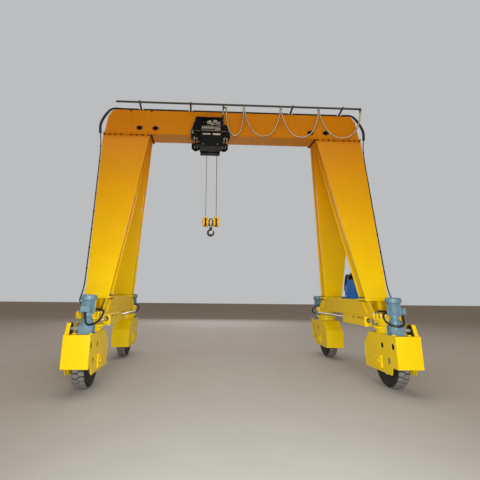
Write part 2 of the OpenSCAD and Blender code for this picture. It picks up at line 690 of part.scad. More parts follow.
bowl_radius = 72;
bowl_drop = 290;
module hook() color(black) translate([fall_middle, 0, sheave_level]) {
    translate([0, 0, -210]) cylinder(h = 250, d = 60 - 2 * shaft_gap);
    translate([0, 0, 40 + slide_gap]) cylinder(h = 36, d = 100);
    translate([0, 0, 39]) cylinder(h = 10, d = 50);
    translate([0, 0, -215]) cylinder(h = 40, d = 84);
    // The bowl: three quarters of a ring, with a tapered tip that turns up
    translate([0, 0, -bowl_drop]) rotate([90, 0, 0]) {
        difference() {
            cylinder(h = 52, r = bowl_radius + 30, center = true);
            translate([4, 8, 0]) cylinder(h = 60, r = bowl_radius - 20, center = true);
            translate([8, 2, -40]) cube([130, 130, 80]);
        }
        translate([bowl_radius + 8, 0, 0]) rotate([-90, 0, 0]) cylinder(h = 46, d1 = 44, d2 = 22);
    }
}

girder();
leg(-1, -1);  // leg_left_front
leg(-1, 1);  // leg_left_rear
leg(1, -1);  // leg_right_front
leg(1, 1);  // leg_right_rear
sill_beam(-1);  // sill_beam_left
sill_beam(1);  // sill_beam_right
steering_cylinder(-1);  // steering_cylinder_left
steering_cylinder(1);  // steering_cylinder_right
for (c = CORNERS) {
    pedestal(c[1], c[2]);
    steering_rod(c[1], c[2]);
    wheel_box(c[1], c[2]);
    gear_motor(c[1], c[2]);
    tyre(c[1], c[2]);
    rim(c[1], c[2]);
    motor_cable(c[1], c[2]);
}
hydraulic_tank();
pump_motor();
festoon_rail();
power_cable();
trolley_frame();
trolley_wheels();
electric_cabinet();
rope_drum();
tow_arm();
hoist_ropes();
hook_block();
hook();
for (i = [1:3])
    festoon_carrier(i);
for (i = [1:4])
    festoon_loop(i);
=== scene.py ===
"""Looks of a rubber tyred gantry crane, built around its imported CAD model.

Every rounded or ridged piece is a surface P(s, t): a profile or a ring, at parameter t, carried along a path or an
axis, at parameter s. A ring on a path is P(s, t) = C(s) + r (cos t U(s) + sin t V(s)), with C the path and U, V at
right angles to it. A turned piece is P(s, t) = A + a h(s) + r(s, t) (cos t U + sin t V), with A a point of its axis a.
Metres, +X along the girder, +Y to the rear, +Z up.
"""

import json
import math

import bpy
import numpy as np
from mathutils import Matrix, Vector


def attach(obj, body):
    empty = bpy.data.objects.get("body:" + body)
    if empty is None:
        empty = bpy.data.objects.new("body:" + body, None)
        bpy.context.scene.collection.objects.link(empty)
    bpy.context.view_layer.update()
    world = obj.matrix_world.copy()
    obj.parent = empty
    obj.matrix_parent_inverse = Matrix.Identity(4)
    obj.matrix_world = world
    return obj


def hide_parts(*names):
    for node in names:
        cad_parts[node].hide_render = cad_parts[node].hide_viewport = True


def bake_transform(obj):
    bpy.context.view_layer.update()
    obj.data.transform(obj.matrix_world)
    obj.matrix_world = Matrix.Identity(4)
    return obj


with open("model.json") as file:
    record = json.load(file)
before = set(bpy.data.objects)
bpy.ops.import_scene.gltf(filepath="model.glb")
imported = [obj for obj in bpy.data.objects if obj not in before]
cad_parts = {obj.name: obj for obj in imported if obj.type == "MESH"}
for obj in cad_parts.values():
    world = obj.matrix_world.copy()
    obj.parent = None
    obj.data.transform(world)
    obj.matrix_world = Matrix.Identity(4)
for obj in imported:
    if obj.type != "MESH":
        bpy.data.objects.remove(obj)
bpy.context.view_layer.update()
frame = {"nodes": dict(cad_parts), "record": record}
NODES = frame["nodes"]

# ---- Camera ----
# Stands in front of the cabinet side, a little left of the middle, and looks slightly up.
CAM_AT = (-0.856, -9.524, 1.791)
YAW, PITCH, ROLL = 0.0431, 0.2414, -0.0107
FOCAL_PX, CENTRE_PX = 359.5, (216.7, 205.1)
ahead = Vector((math.sin(YAW) * math.cos(PITCH), math.cos(YAW) * math.cos(PITCH), math.sin(PITCH)))
right0 = Vector((math.cos(YAW), -math.sin(YAW), 0.0))
up0 = right0.cross(ahead)
right = right0 * math.cos(ROLL) - up0 * math.sin(ROLL)
up = right0 * math.sin(ROLL) + up0 * math.cos(ROLL)
camera = bpy.data.objects.new("camera", bpy.data.cameras.new("camera"))
camera.data.sensor_width = 36.0
camera.data.lens = FOCAL_PX * 36.0 / 480.0
camera.data.shift_x = (240.0 - CENTRE_PX[0]) / 480.0
camera.data.shift_y = (CENTRE_PX[1] - 240.0) / 480.0
camera.data.clip_end = 200.0
camera.matrix_world = Matrix((
    (right.x, up.x, -ahead.x, CAM_AT[0]),
    (right.y, up.y, -ahead.y, CAM_AT[1]),
    (right.z, up.z, -ahead.z, CAM_AT[2]),
    (0.0, 0.0, 0.0, 1.0),
))
bpy.context.scene.collection.objects.link(camera)
bpy.context.scene.camera = camera
bpy.context.scene.view_settings.view_transform = "Standard"


# ---- Materials ----
# One material for each of the record's finishes. Patches, streaks and fine grain are shared groups of noise.
def noise_group(name, scale, detail, stretch=(1.0, 1.0, 1.0)):
    """A value from 0 to 1 that wanders over the surface."""
    group = bpy.data.node_groups.new(name, "ShaderNodeTree")
    group.interface.new_socket("Value", in_out="OUTPUT", socket_type="NodeSocketFloat")
    n, link = group.nodes, group.links.new
    place = n.new("ShaderNodeTexCoord")
    squeeze = n.new("ShaderNodeMapping")
    squeeze.inputs["Scale"].default_value = stretch
    noise = n.new("ShaderNodeTexNoise")
    noise.inputs["Scale"].default_value = scale
    noise.inputs["Detail"].default_value = detail
    fit = n.new("ShaderNodeMapRange")
    fit.inputs["From Min"].default_value = 0.3
    fit.inputs["From Max"].default_value = 0.7
    out = n.new("NodeGroupOutput")
    link(place.outputs["Object"], squeeze.inputs["Vector"])
    link(squeeze.outputs["Vector"], noise.inputs["Vector"])
    link(noise.outputs["Fac"], fit.inputs["Value"])
    link(fit.outputs["Result"], out.inputs["Value"])
    return group


PATCHES = noise_group("patches", 1.3, 6.0)
STREAKS = noise_group("streaks", 5.0, 4.0, (1.0, 1.0, 0.12))
GRAIN = noise_group("grain", 90.0, 3.0)


def mixed(mat, factor, a, b, mode="MIX"):
    """A colour mix in a material; a and b are colours or sockets."""
    mix = mat.node_tree.nodes.new("ShaderNodeMix")
    mix.data_type = "RGBA"
    mix.blend_type = mode
    for key, value in (("Factor", factor), ("A", a), ("B", b)):
        if isinstance(value, bpy.types.NodeSocket):
            mat.node_tree.links.new(value, mix.inputs[key])
        else:
            mix.inputs[key].default_value = value if key == "Factor" else (*value, 1.0)
    return mix.outputs["Result"]


FINISH = {}


def finish(name, colour, rough, metal=0.0, shade=0.12, bump=0.0, spread=0.08, edge=0.0, streak=0.0,
           painted_warm_light_colour=None, gleam=0.5, dust=None):
    """A material: its colour, roughness, patches, streaks, grain height, edge rounding, gleam and dust, and a painted
    warmer light that deepens the colour with height.
    """
    mat = bpy.data.materials.new(name)
    mat.use_nodes = True
    n, link = mat.node_tree.nodes, mat.node_tree.links.new
    shader = n["Principled BSDF"]
    shader.inputs["Metallic"].default_value = metal
    shader.inputs["Specular IOR Level"].default_value = gleam
    patches = n.new("ShaderNodeGroup")
    patches.node_tree = PATCHES
    base = colour
    if painted_warm_light_colour:
        # Painted light: the paint turns more orange with height, standing in for the warmer light on the upper legs and
        # the girder
        place = n.new("ShaderNodeTexCoord")
        parts = n.new("ShaderNodeSeparateXYZ")
        rise = n.new("ShaderNodeMapRange")
        rise.inputs["From Min"].default_value = 1.2
        rise.inputs["From Max"].default_value = 6.2
        link(place.outputs["Object"], parts.inputs["Vector"])
        link(parts.outputs["Z"], rise.inputs["Value"])
        base = mixed(mat, rise.outputs["Result"], colour, painted_warm_light_colour)
    dull = (1.0 - shade,) * 3
    base = mixed(mat, patches.outputs["Value"], base, mixed(mat, 1.0, base, dull, "MULTIPLY"))
    if streak:
        runs = n.new("ShaderNodeGroup")
        runs.node_tree = STREAKS
        thin = n.new("ShaderNodeMath")
        thin.operation = "MULTIPLY"
        thin.inputs[1].default_value = streak
        link(runs.outputs["Value"], thin.inputs[0])
        base = mixed(mat, thin.outputs["Value"], base, tuple(c * 0.55 for c in colour))
    if dust:
        # Grey dust on the worn tops, from how far each point stands out
        height = n.new("ShaderNodeAttribute")
        height.attribute_name = "height"
        base = mixed(mat, height.outputs["Fac"], base, dust)
    link(base, shader.inputs["Base Color"])
    gloss = n.new("ShaderNodeMapRange")
    gloss.inputs["To Min"].default_value = rough - spread
    gloss.inputs["To Max"].default_value = rough + spread
    link(patches.outputs["Value"], gloss.inputs["Value"])
    link(gloss.outputs["Result"], shader.inputs["Roughness"])
    normal = None
    if edge:
        bevel = n.new("ShaderNodeBevel")
        bevel.samples = 4
        bevel.inputs["Radius"].default_value = edge
        normal = bevel.outputs["Normal"]
    if bump:
        grain = n.new("ShaderNodeGroup")
        grain.node_tree = GRAIN
        raised = n.new("ShaderNodeBump")
        raised.inputs["Strength"].default_value = 0.4
        raised.inputs["Distance"].default_value = bump
        link(grain.outputs["Value"], raised.inputs["Height"])
        if normal:
            link(normal, raised.inputs["Normal"])
        normal = raised.outputs["Normal"]
    if normal:
        link(normal, shader.inputs["Normal"])
    FINISH[name] = mat
    return mat


# The yellow's orange colour at the girder's height is painted warm light from above
finish("crane_yellow", (0.775, 0.548, 0.003), 0.34, shade=0.07, bump=0.0005, edge=0.004, streak=0.12,
       painted_warm_light_colour=(0.715, 0.254, 0.0025), gleam=0.18)
finish("dark_paint", (0.0055, 0.008, 0.0105), 0.40, shade=0.3, edge=0.003, bump=0.0004, gleam=0.15)
finish("motor_blue", (0.125, 0.235, 0.345), 0.38, edge=0.003, streak=0.1, bump=0.0003, gleam=0.4)
finish("tank_blue", (0.0005, 0.128, 0.50), 0.30, edge=0.004, streak=0.1, gleam=0.06)
finish("galvanised", (0.50, 0.51, 0.52), 0.42, metal=0.45, shade=0.3, bump=0.0004)
finish("bare_steel", (0.42, 0.42, 0.42), 0.34, metal=0.7, shade=0.35, edge=0.002)
finish("rope_steel", (0.13, 0.13, 0.125), 0.5, metal=0.6, shade=0.4)
finish("hook_black", (0.009, 0.009, 0.010), 0.42, shade=0.3, edge=0.003, bump=0.0004, gleam=0.25)
finish("rim_paint", (0.66, 0.66, 0.60), 0.42, shade=0.25, edge=0.003, streak=0.15)
finish("tyre_rubber", (0.010, 0.010, 0.011), 0.70, shade=0.4, bump=0.0008, gleam=0.4, dust=(0.205, 0.195, 0.205))
finish("cable_rubber", (0.008, 0.009, 0.013), 0.45, shade=0.3, bump=0.0003, gleam=0.35)
# The festoon rubber's pale tan is a painted highlight: the sheen along a dark flat cable
finish("festoon_rubber", (0.80, 0.70, 0.56), 0.42, shade=0.2, bump=0.0003)
for part in frame["record"]["subparts"]:
    NODES[part["node"]].data.materials.clear()
    NODES[part["node"]].data.materials.append(FINISH[part["material_slot"]])
# The festoon rail is given a darker colour than the other galvanised parts
NODES["festoon_rail"].data.materials[0] = finish("rail_steel", (0.075, 0.09, 0.092), 0.45, metal=0.3, shade=0.3,
                                                 bump=0.0004, edge=0.002)

# ---- Power cable ----
# A rubber cable of 26 mm. It leaves the left pedestal, climbs the leg's outer edge, crosses the girder's top and
# goes down the right leg into the right pedestal.
X, Y, Z = np.eye(3)
CORNERS = (("left_front", -1, -1), ("left_rear", -1, 1), ("right_front", 1, -1), ("right_rear", 1, 1))


def smooth(points, step):
    """One smooth curve through the points (centripetal Catmull-Rom), sampled about every step metres."""
    p = np.array(points, float)
    p = np.vstack([2 * p[0] - p[1], p, 2 * p[-1] - p[-2]])
    knot = np.concatenate([[0.0], np.cumsum(np.sqrt(np.linalg.norm(np.diff(p, axis=0), axis=1)))])
    out = []
    for i in range(1, len(p) - 2):
        k0, k1, k2, k3 = knot[i - 1:i + 3]
        count = max(2, math.ceil(np.linalg.norm(p[i + 1] - p[i]) / step))
        t = np.linspace(k1, k2, count, endpoint=False)[:, None]
        a = (k1 - t) / (k1 - k0) * p[i - 1] + (t - k0) / (k1 - k0) * p[i]
        b = (k2 - t) / (k2 - k1) * p[i] + (t - k1) / (k2 - k1) * p[i + 1]
        c = (k3 - t) / (k3 - k2) * p[i + 1] + (t - k2) / (k3 - k2) * p[i + 2]
        d = (k2 - t) / (k2 - k0) * a + (t - k0) / (k2 - k0) * b
        e = (k3 - t) / (k3 - k1) * b + (t - k1) / (k3 - k1) * c
        out.append((k2 - t) / (k2 - k1) * d + (t - k1) / (k2 - k1) * e)
    return np.concatenate(out + [p[-2:-1]])


def outward(verts, faces):
    """Turns the faces of a closed skin so that they look outwards."""
    volume = 0.0
    for f in faces:
        for j in range(1, f.shape[1] - 1):
            volume += np.einsum("ij,ij->", verts[f[:, 0]], np.cross(verts[f[:, j]], verts[f[:, j + 1]]))
    return verts, [f[:, ::-1] for f in faces] if volume < 0 else faces


def skin(grid, ring=False):
    """A closed skin over P(s, t): t goes round; the two ends are capped, or join when ring is true."""
    grid = np.asarray(grid, float)
    index = np.arange(grid.shape[0] * grid.shape[1]).reshape(grid.shape[:2])
    here, there = (index, np.roll(index, -1, 0)) if ring else (index[:-1], index[1:])
    quads = np.stack([here, np.roll(here, -1, 1), np.roll(there, -1, 1), there], -1).reshape(-1, 4)
    faces = [quads] if ring else [quads, index[:1, ::-1], index[-1:]]
    return outward(grid.reshape(-1, 3), faces)


def tube(path, radius, sides=12):
    """Rings round a path; radius is a number, one for each ring, or one for each ring and side."""
    path = np.asarray(path, float)
    ahead = np.gradient(path, axis=0)
    ahead /= np.linalg.norm(ahead, axis=1)[:, None]
    across = np.empty_like(path)
    u = np.cross(ahead[0], X if abs(ahead[0][0]) < 0.9 else Y)
    for i, a in enumerate(ahead):
        u = u - a * (u @ a)
        u = u / np.linalg.norm(u)
        across[i] = u
    other = np.cross(ahead, across)
    t = np.linspace(0, 2 * math.pi, sides, endpoint=False)
    radius = np.asarray(radius, float)
    if radius.ndim < 2:
        radius = np.broadcast_to(radius[..., None], (len(path), sides))
    around = across[:, None] * np.cos(t)[:, None] + other[:, None] * np.sin(t)[:, None]
    return skin(path[:, None] + radius[..., None] * around)


def piece(name, parts, slot, body=None, angle=38.0):
    """One object from a list of skins, in a slot's finish, that rides on a body."""
    verts = np.concatenate([v for v, _ in parts])
    corners, sizes, base = [], [], 0
    for v, faces in parts:
        for f in faces:
            corners.append((f + base).ravel())
            sizes.append(np.full(len(f), f.shape[1]))
        base += len(v)
    corners, sizes = np.concatenate(corners), np.concatenate(sizes)
    mesh = bpy.data.meshes.new(name)
    mesh.vertices.add(len(verts))
    mesh.vertices.foreach_set("co", verts.ravel())
    mesh.loops.add(len(corners))
    mesh.loops.foreach_set("vertex_index", corners)
    mesh.polygons.add(len(sizes))
    mesh.polygons.foreach_set("loop_start", np.cumsum(sizes) - sizes)
    mesh.update(calc_edges=True)
    mesh.polygons.foreach_set("use_smooth", np.ones(len(sizes), bool))
    mesh.set_sharp_from_angle(angle=math.radians(angle))
    mesh.materials.append(FINISH[slot])
    obj = bpy.data.objects.new(name, mesh)
    bpy.context.scene.collection.objects.link(obj)
    if body:
        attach(obj, body)
    return obj


power_half = [
    (3.2803, -1.580, 1.560), (3.3220, -1.5775, 1.5645), (3.3600, -1.5650, 1.5845), (3.3855, -1.5430, 1.6190),
    (3.394, -1.514, 1.664), (3.389, -1.480, 1.722), (3.379, -1.446, 1.800), (3.371, -1.411, 1.900),
    (3.371, -1.3666, 2.040), (3.3764, -1.3326, 2.160),
    (3.5015, -0.7542, 4.200), (3.6207, -0.3302, 5.750), (3.668, -0.320, 6.080), (3.678, -0.300, 6.300),
    (3.610, -0.240, 6.560), (3.508, -0.200, 6.748), (3.400, -0.200, 6.8135), (3.000, -0.200, 6.8135),
]
power_route = [(-x, y, z) for x, y, z in power_half] + power_half[::-1]
power_path = smooth(power_route, 0.06)
power_cable = piece("power_cable_line", [tube(power_path, 0.013, 12)], "cable_rubber", "structure")
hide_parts("power_cable")

# ---- Cable sleeve ----
# Black corrugated hose that protects the power cable round the girder's two ends and along its top. It is slit over
# the cable in lengths that stop beside the festoon rail's arms.
run = smooth(power_route, 0.012)
on_top = np.clip((run[:, 2] - 6.70) / 0.11, 0, 1)
ridges = 0.035 - 0.009 * on_top + 0.0022 * np.cos(np.arange(len(run)) * math.pi)
sleeves = []
for x0, x1 in ((-3.75, -2.68), (-2.56, -1.28), (-1.16, 1.58), (1.70, 3.00), (3.12, 3.75)):
    keep = (run[:, 0] > x0) & (run[:, 0] < x1) & (run[:, 2] > 6.02)
    sleeves.append(tube(run[keep] + Z * 0.0148 * on_top[keep][:, None], ridges[keep], 14))
piece("cable_sleeve", sleeves, "cable_rubber", "structure")


# ---- Motor cables ----
# One to each gear motor: from the terminal box down in a loop and back to the pedestal's conduit. A screwed gland holds
# each end.
def turned(at, axis, profile, sides=24):
    """A turned skin: profile holds (distance along the axis, radius), radius a number or one for each side."""
    axis = np.asarray(axis, float) / np.linalg.norm(axis)
    u = np.cross(axis, X if abs(axis[0]) < 0.9 else Z)
    u /= np.linalg.norm(u)
    v = np.cross(axis, u)
    t = np.linspace(0, 2 * math.pi, sides, endpoint=False)
    around = np.outer(np.cos(t), u) + np.outer(np.sin(t), v)
    return skin([np.asarray(at) + axis * h + np.multiply(np.reshape(r, (-1, 1)), around) for h, r in profile])


def mirrored(parts, x, y=1.0):
    """The same skins with x or y turned round by a factor of -1, still facing outwards."""
    return [outward(v * (x, y, 1.0), f) for v, f in parts]


def gland(at, axis, r):
    """A cable gland: a hexagon nut, a collar and a tapered sleeve."""
    return [turned(at, axis, [(-0.002, 1.7 * r), (0.012, 1.7 * r), (0.014, 1.55 * r)], 6),
            turned(at, axis, [(0.013, 1.45 * r), (0.032, 1.4 * r), (0.044, 1.1 * r), (0.06, 1.04 * r)], 20)]


lead_right = [(3.120, -2.340, 1.4367), (3.120, -2.340, 1.380), (3.055, -2.475, 1.255), (2.930, -2.510, 1.215),
              (2.800, -2.420, 1.250), (2.768, -2.290, 1.345), (2.830, -2.180, 1.430), (2.960, -2.090, 1.462),
              (2.990, -1.700, 1.462), (2.990, -1.6103, 1.460)]
lead_left = [(2.970, -2.475, 1.4367), (2.970, -2.475, 1.390), (2.910, -2.490, 1.220), (2.780, -2.260, 1.255),
             (2.735, -2.060, 1.428), (2.990, -1.650, 1.460), (2.990, -1.6103, 1.460)]
for corner, side, end in CORNERS:
    lead = lead_right if side > 0 else lead_left
    cable = piece("motor_lead_" + corner, mirrored([tube(smooth(lead, 0.02), 0.0185, 14)], side, -end), "cable_rubber")
    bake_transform(cable)
    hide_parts("motor_cable_" + corner)
    piece("motor_gland_" + corner, mirrored(gland(lead[0], -Z, 0.0180), side, -end), "cable_rubber",
          "bogie_" + corner)
    piece("conduit_gland_" + corner, mirrored(gland(lead[-1], -Y, 0.0180), side, -end), "bare_steel", "structure")

# ---- Festoon loops ----
# Four hanging loops, each a flat supply cable between two thin dark control cables; the supply cable's pale colour is a
# painted highlight, the sheen along a dark flat cable. A loop is clamped to the tow arm, a carrier or the end clamp at
# each end.
FESTOON_Y, CLAMP_Z = -0.520, 6.7897
loops = [
    [(-0.231, 0.0), (-0.231, 0.06), (-0.205, 0.43), (-0.110, 0.74), (0.010, 0.83), (0.125, 0.74), (0.215, 0.43),
     (0.248, 0.06), (0.248, 0.0)],
    [(0.272, 0.0), (0.272, 0.06), (0.370, 0.43), (0.545, 0.73), (0.775, 0.825), (1.005, 0.73), (1.180, 0.43),
     (1.278, 0.06), (1.278, 0.0)],
    [(1.302, 0.0), (1.302, 0.06), (1.400, 0.43), (1.580, 0.73), (1.825, 0.82), (2.070, 0.73), (2.250, 0.43),
     (2.348, 0.06), (2.348, 0.0)],
    [(2.372, 0.0), (2.372, 0.06), (2.480, 0.43), (2.690, 0.72), (2.960, 0.81), (3.230, 0.72), (3.440, 0.43),
     (3.545, 0.06), (3.545, 0.0)],
]


for i, loop in enumerate(loops):
    route = smooth([(x, FESTOON_Y, CLAMP_Z - drop) for x, drop in loop], 0.02)
    side = np.cross(np.gradient(route, axis=0), Y)
    side /= np.linalg.norm(side, axis=1)[:, None]
    # The supply cable's pale colour is painted sheen
    sheen_supply = piece(f"festoon_sheen_supply_{i + 1}", [tube(route + Y * d, 0.0105, 10) for d in (-0.010, 0.010)],
                   "festoon_rubber")
    control = piece(f"festoon_control_{i + 1}", [tube(route + side * d, 0.0055, 8) for d in (-0.0155, 0.0155)],
                    "cable_rubber")
    for cable in (sheen_supply, control):
        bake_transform(cable)
    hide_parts(f"festoon_loop_{i + 1}")

# ---- Hoist ropes ----
# Four falls of 12 mm wire rope, six steel strands each, between the hook block and the sheave housing. They hang from
# the housing.
ROPE_X, ROPE_Y, ROPE_LOW, ROPE_HIGH = (-0.742, -0.458), (-0.05, 0.05), 3.7903, 5.61
ROPE_R, ROPE_LAY = 0.006, 0.08


def rope(path, sides=24):
    """A wire rope: the ring's radius follows six strands that wind once in each lay length."""
    path = np.asarray(path, float)
    along = np.concatenate([[0.0], np.cumsum(np.linalg.norm(np.diff(path, axis=0), axis=1))])
    t = np.linspace(0, 2 * math.pi, sides, endpoint=False)
    strand = np.abs(np.sin(3.0 * (t[None] - 2 * math.pi * along[:, None] / ROPE_LAY)))
    return tube(path, ROPE_R * (0.78 + 0.22 * strand), sides)


z = np.linspace(ROPE_LOW, ROPE_HIGH, 240)
falls = [rope(np.stack([np.full_like(z, x), np.full_like(z, y), z], -1)) for x in ROPE_X for y in ROPE_Y]
ropes = piece("rope_falls", falls, "rope_steel")
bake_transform(ropes)
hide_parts("hoist_ropes")

# ---- Tyres ----
# Moulded rubber: deep cross grooves from each shoulder in turn, one thin zigzag groove that joins their inner ends,
# ribbed sidewalls and a bead on the rim.
TYRE_R, TYRE_HALF, LUGS, STEPS = 0.509, 0.135, 28, 560
WHEEL = np.array((3.05, -1.85, TYRE_R))


def tyre_skin():
    """P(s, t): s is the turn round the axle, t the way round the tyre's section."""
    half = [(0.300, 0.095), (0.268, 0.090), (0.2601, 0.100), (0.2601, 0.110), (0.270, 0.121), (0.290, 0.126),
            (0.310, 0.127), (0.318, 0.1305), (0.326, 0.127), (0.350, 0.1300), (0.359, 0.1345), (0.385, 0.1348),
            (0.394, 0.131), (0.405, 0.131), (0.414, 0.1345), (0.430, 0.133), (0.4485, 0.1265), (0.468, 0.122),
            (0.484, 0.114), (0.4955, 0.106)]
    crown = [(TYRE_R - 0.9 * h * h, h) for h in np.linspace(0.100, -0.100, 46)]
    outline = half + crown + [(r, -h) for r, h in reversed(half)]
    r, h = np.array(outline).T
    turn = np.linspace(0, 2 * math.pi, STEPS, endpoint=False)[:, None]
    u = h[None] / TYRE_HALF
    lap = LUGS * turn / (2 * math.pi) + 0.06 * u
    # How far from the nearest groove of this shoulder, in turns of one lug
    near = np.abs((lap + np.where(u < 0, 0.0, 0.5) + 0.5) % 1.0 - 0.5)
    inner = 0.24
    across = (np.abs(u) > inner) & (near < 0.100 + 0.030 * np.abs(u)) & (r[None] > 0.462)
    saw = 2.0 * np.abs(lap % 1.0 - 0.5)
    zigzag = (np.abs(u) <= inner + 0.03) & (np.abs(u / inner - (1.0 - 2.0 * saw)) < 0.34)
    cut = np.clip(0.016 * across + 0.010 * zigzag, 0.0, 0.016)
    deep = r[None] - cut
    tops = np.clip((r[None] - 0.484) / 0.015, 0, 1) * (cut < 0.003)
    return turn, deep, np.broadcast_to(h[None], deep.shape), tops


turn, deep, wide, tops = tyre_skin()
for corner, side, end in CORNERS:
    grid = np.stack([side * (WHEEL[0] + wide), -end * WHEEL[1] + deep * np.cos(turn),
                     TYRE_R + deep * np.sin(turn)], -1)
    tyre = piece("tread_" + corner, [skin(grid, ring=True)], "tyre_rubber", "wheel_" + corner, 50.0)
    height = tyre.data.attributes.new("height", "FLOAT", "POINT")
    height.data.foreach_set("value", (tops * 0.8).ravel())
    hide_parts("tyre_" + corner)

# ---- Wheel nuts ----
# Painted rim flanges, and ten steel studs with nuts on each side of the rim's disc, which bolt it to the hub.
def hexagon(at, axis, r, height):
    """A bolt head on its washer, with chamfered corners."""
    return [turned(at, axis, [(0.0, 1.28 * r), (0.18 * height, 1.28 * r)], 16),
            turned(at, axis, [(0.18 * height, r), (0.85 * height, r), (height, 0.86 * r)], 6)]


def circle(at, u, v, r, count, start=0.0):
    """Points on a circle round at, in the plane of u and v."""
    return [np.asarray(at) + r * (math.cos(a) * u + math.sin(a) * v)
            for a in start + np.arange(count) * 2 * math.pi / count]


def at_corners(stem, parts, slot, body=None):
    """What is made for the right front corner, at all four; it rides on each corner's body or on the structure."""
    for corner, side, end in CORNERS:
        piece(f"{stem}_{corner}", mirrored(parts, side, -end), slot, f"{body}_{corner}" if body else "structure")


nuts = []
for x, way in ((0.0, X), (-0.020, -X)):
    for p in circle(WHEEL + X * x, Y, Z, 0.165, 10):
        nuts += hexagon(p, way, 0.016, 0.022) + [turned(p, way, [(0.0, 0.010), (0.034, 0.010)], 12)]
flange = [turned(WHEEL + X * x, X, [(-0.012, 0.252), (-0.012, 0.262), (-0.005, 0.272), (0.005, 0.272), (0.012, 0.262),
                                    (0.012, 0.252)], 64) for x in (-0.094, 0.094)]
flange.append(turned(WHEEL + X * 0.0005, X, [(0.0, 0.120), (0.014, 0.116), (0.020, 0.100), (0.020, 0.086)], 48))
at_corners("wheel_nuts", nuts, "bare_steel", "wheel")
at_corners("rim_flange", flange, "rim_paint", "wheel")

# ---- Drive chains ----
# A roller chain of steel links from each gear motor's sprocket, down through the box's top plate, to the wheel's own
# sprocket. The sprockets are keyed on their shafts and ride with the bogie.
CHAIN_X, TOP_R, LOW_R, LINKS, LINK_R, TEETH = 3.258, 0.099, 0.195, 64, 0.016, 19
top, foot = np.array((-2.32, 1.132)), WHEEL[1:]


def arc(centre, r, a0, a1, count=24):
    """Points on an arc between two angles in degrees."""
    a = np.radians(np.linspace(a0, a1, count))
    return [centre + r * np.array((math.cos(t), math.sin(t))) for t in a]


def evenly(points, count):
    """The same closed route as count points at equal distances."""
    p = np.array(points + points[:1])
    along = np.concatenate([[0.0], np.cumsum(np.linalg.norm(np.diff(p, axis=0), axis=1))])
    s = np.linspace(0, along[-1], count, endpoint=False)
    return np.stack([np.interp(s, along, p[:, k]) for k in range(2)], -1)


def link_plate(a, b, x0, x1):
    """A chain plate: a long rounded outline round two pins, between two values of x."""
    d = (b - a) / np.linalg.norm(b - a)
    n = np.array((-d[1], d[0]))
    t = np.linspace(-math.pi / 2, math.pi / 2, 7)
    ends = [b + LINK_R * (math.cos(k) * d + math.sin(k) * n) for k in t]
    ends += [a - LINK_R * (math.cos(k) * d + math.sin(k) * n) for k in t]
    return skin([[(x, p[0], p[1]) for p in ends] for x in (x0, x1)])


def heads(points, axis, r, height):
    """A bolt head at each of the points."""
    return [part for p in points for part in hexagon(p, axis, r, height)]


# Round the motor's sprocket, straight down its rear side, and round the wheel's sprocket
belt = evenly(arc(top, TOP_R, 217, 0) + [np.array((-2.221, 1.0))] + arc(foot, LOW_R, 50, -143, 40), LINKS)
chain = []
for k, p in enumerate(belt):
    q = belt[(k + 1) % LINKS]
    inner = 0.0085 if k % 2 else 0.0125
    for s in (-1, 1):
        chain.append(link_plate(p, q, CHAIN_X + s * inner, CHAIN_X + s * (inner + 0.0035)))
    chain.append(turned((CHAIN_X - 0.017, *p), X, [(0.0, 0.007), (0.034, 0.007)], 8))
turn = np.linspace(0, 2 * math.pi, TEETH * 8, endpoint=False)
blade = 0.097 + 0.009 * np.clip(1.6 * np.cos(TEETH * turn), -1, 1)
sprockets = [turned((CHAIN_X - 0.0125, *top), X, [(0.0, 0.0955), (0.0065, 0.0955), (0.0065, blade), (0.0185, blade),
                                                  (0.0185, 0.0955), (0.025, 0.0955)], len(turn)),
             turned((CHAIN_X + 0.011, *top), X, [(0.0, 0.046), (0.005, 0.044), (0.008, 0.038)], 28)]
sprockets += heads(circle((CHAIN_X + 0.011, *top), Y, Z, 0.066, 6), X, 0.008, 0.007)
sprockets.append(turned((CHAIN_X - 0.0135, *foot), X, [(0.0, 0.186), (0.002, 0.1935), (0.025, 0.1935),
                                                       (0.027, 0.186)], 96))
at_corners("drive_chain", chain, "rope_steel", "bogie")
at_corners("drive_sprocket", sprockets, "hook_black", "bogie")

# ---- Gear motor fittings ----
# Cast cooling fins along the motor, a ribbed fan cowl, the terminal box's lid, flange bolts, and the bright cap of the
# output bearing. Cast and bolted on the gear unit.
MOTOR = np.array((2.97, -2.32, 1.04))
SHAFT, COWL = MOTOR + Z * 0.092, MOTOR + Z * 0.703


def block(low, high, e=0.003):
    """A block between two corners, with chamfers of e."""
    (x0, y0, z0), (x1, y1, z1) = np.minimum(low, high), np.maximum(low, high)

    def ring(k, z):
        a, b, c, d = x0 + k, x1 - k, y0 + k, y1 - k
        return [(a + e, c, z), (b - e, c, z), (b, c + e, z), (b, d - e, z), (b - e, d, z), (a + e, d, z),
                (a, d - e, z), (a, c + e, z)]
    return skin([ring(e, z0), ring(0, z0 + e), ring(0, z1 - e), ring(e, z1)])


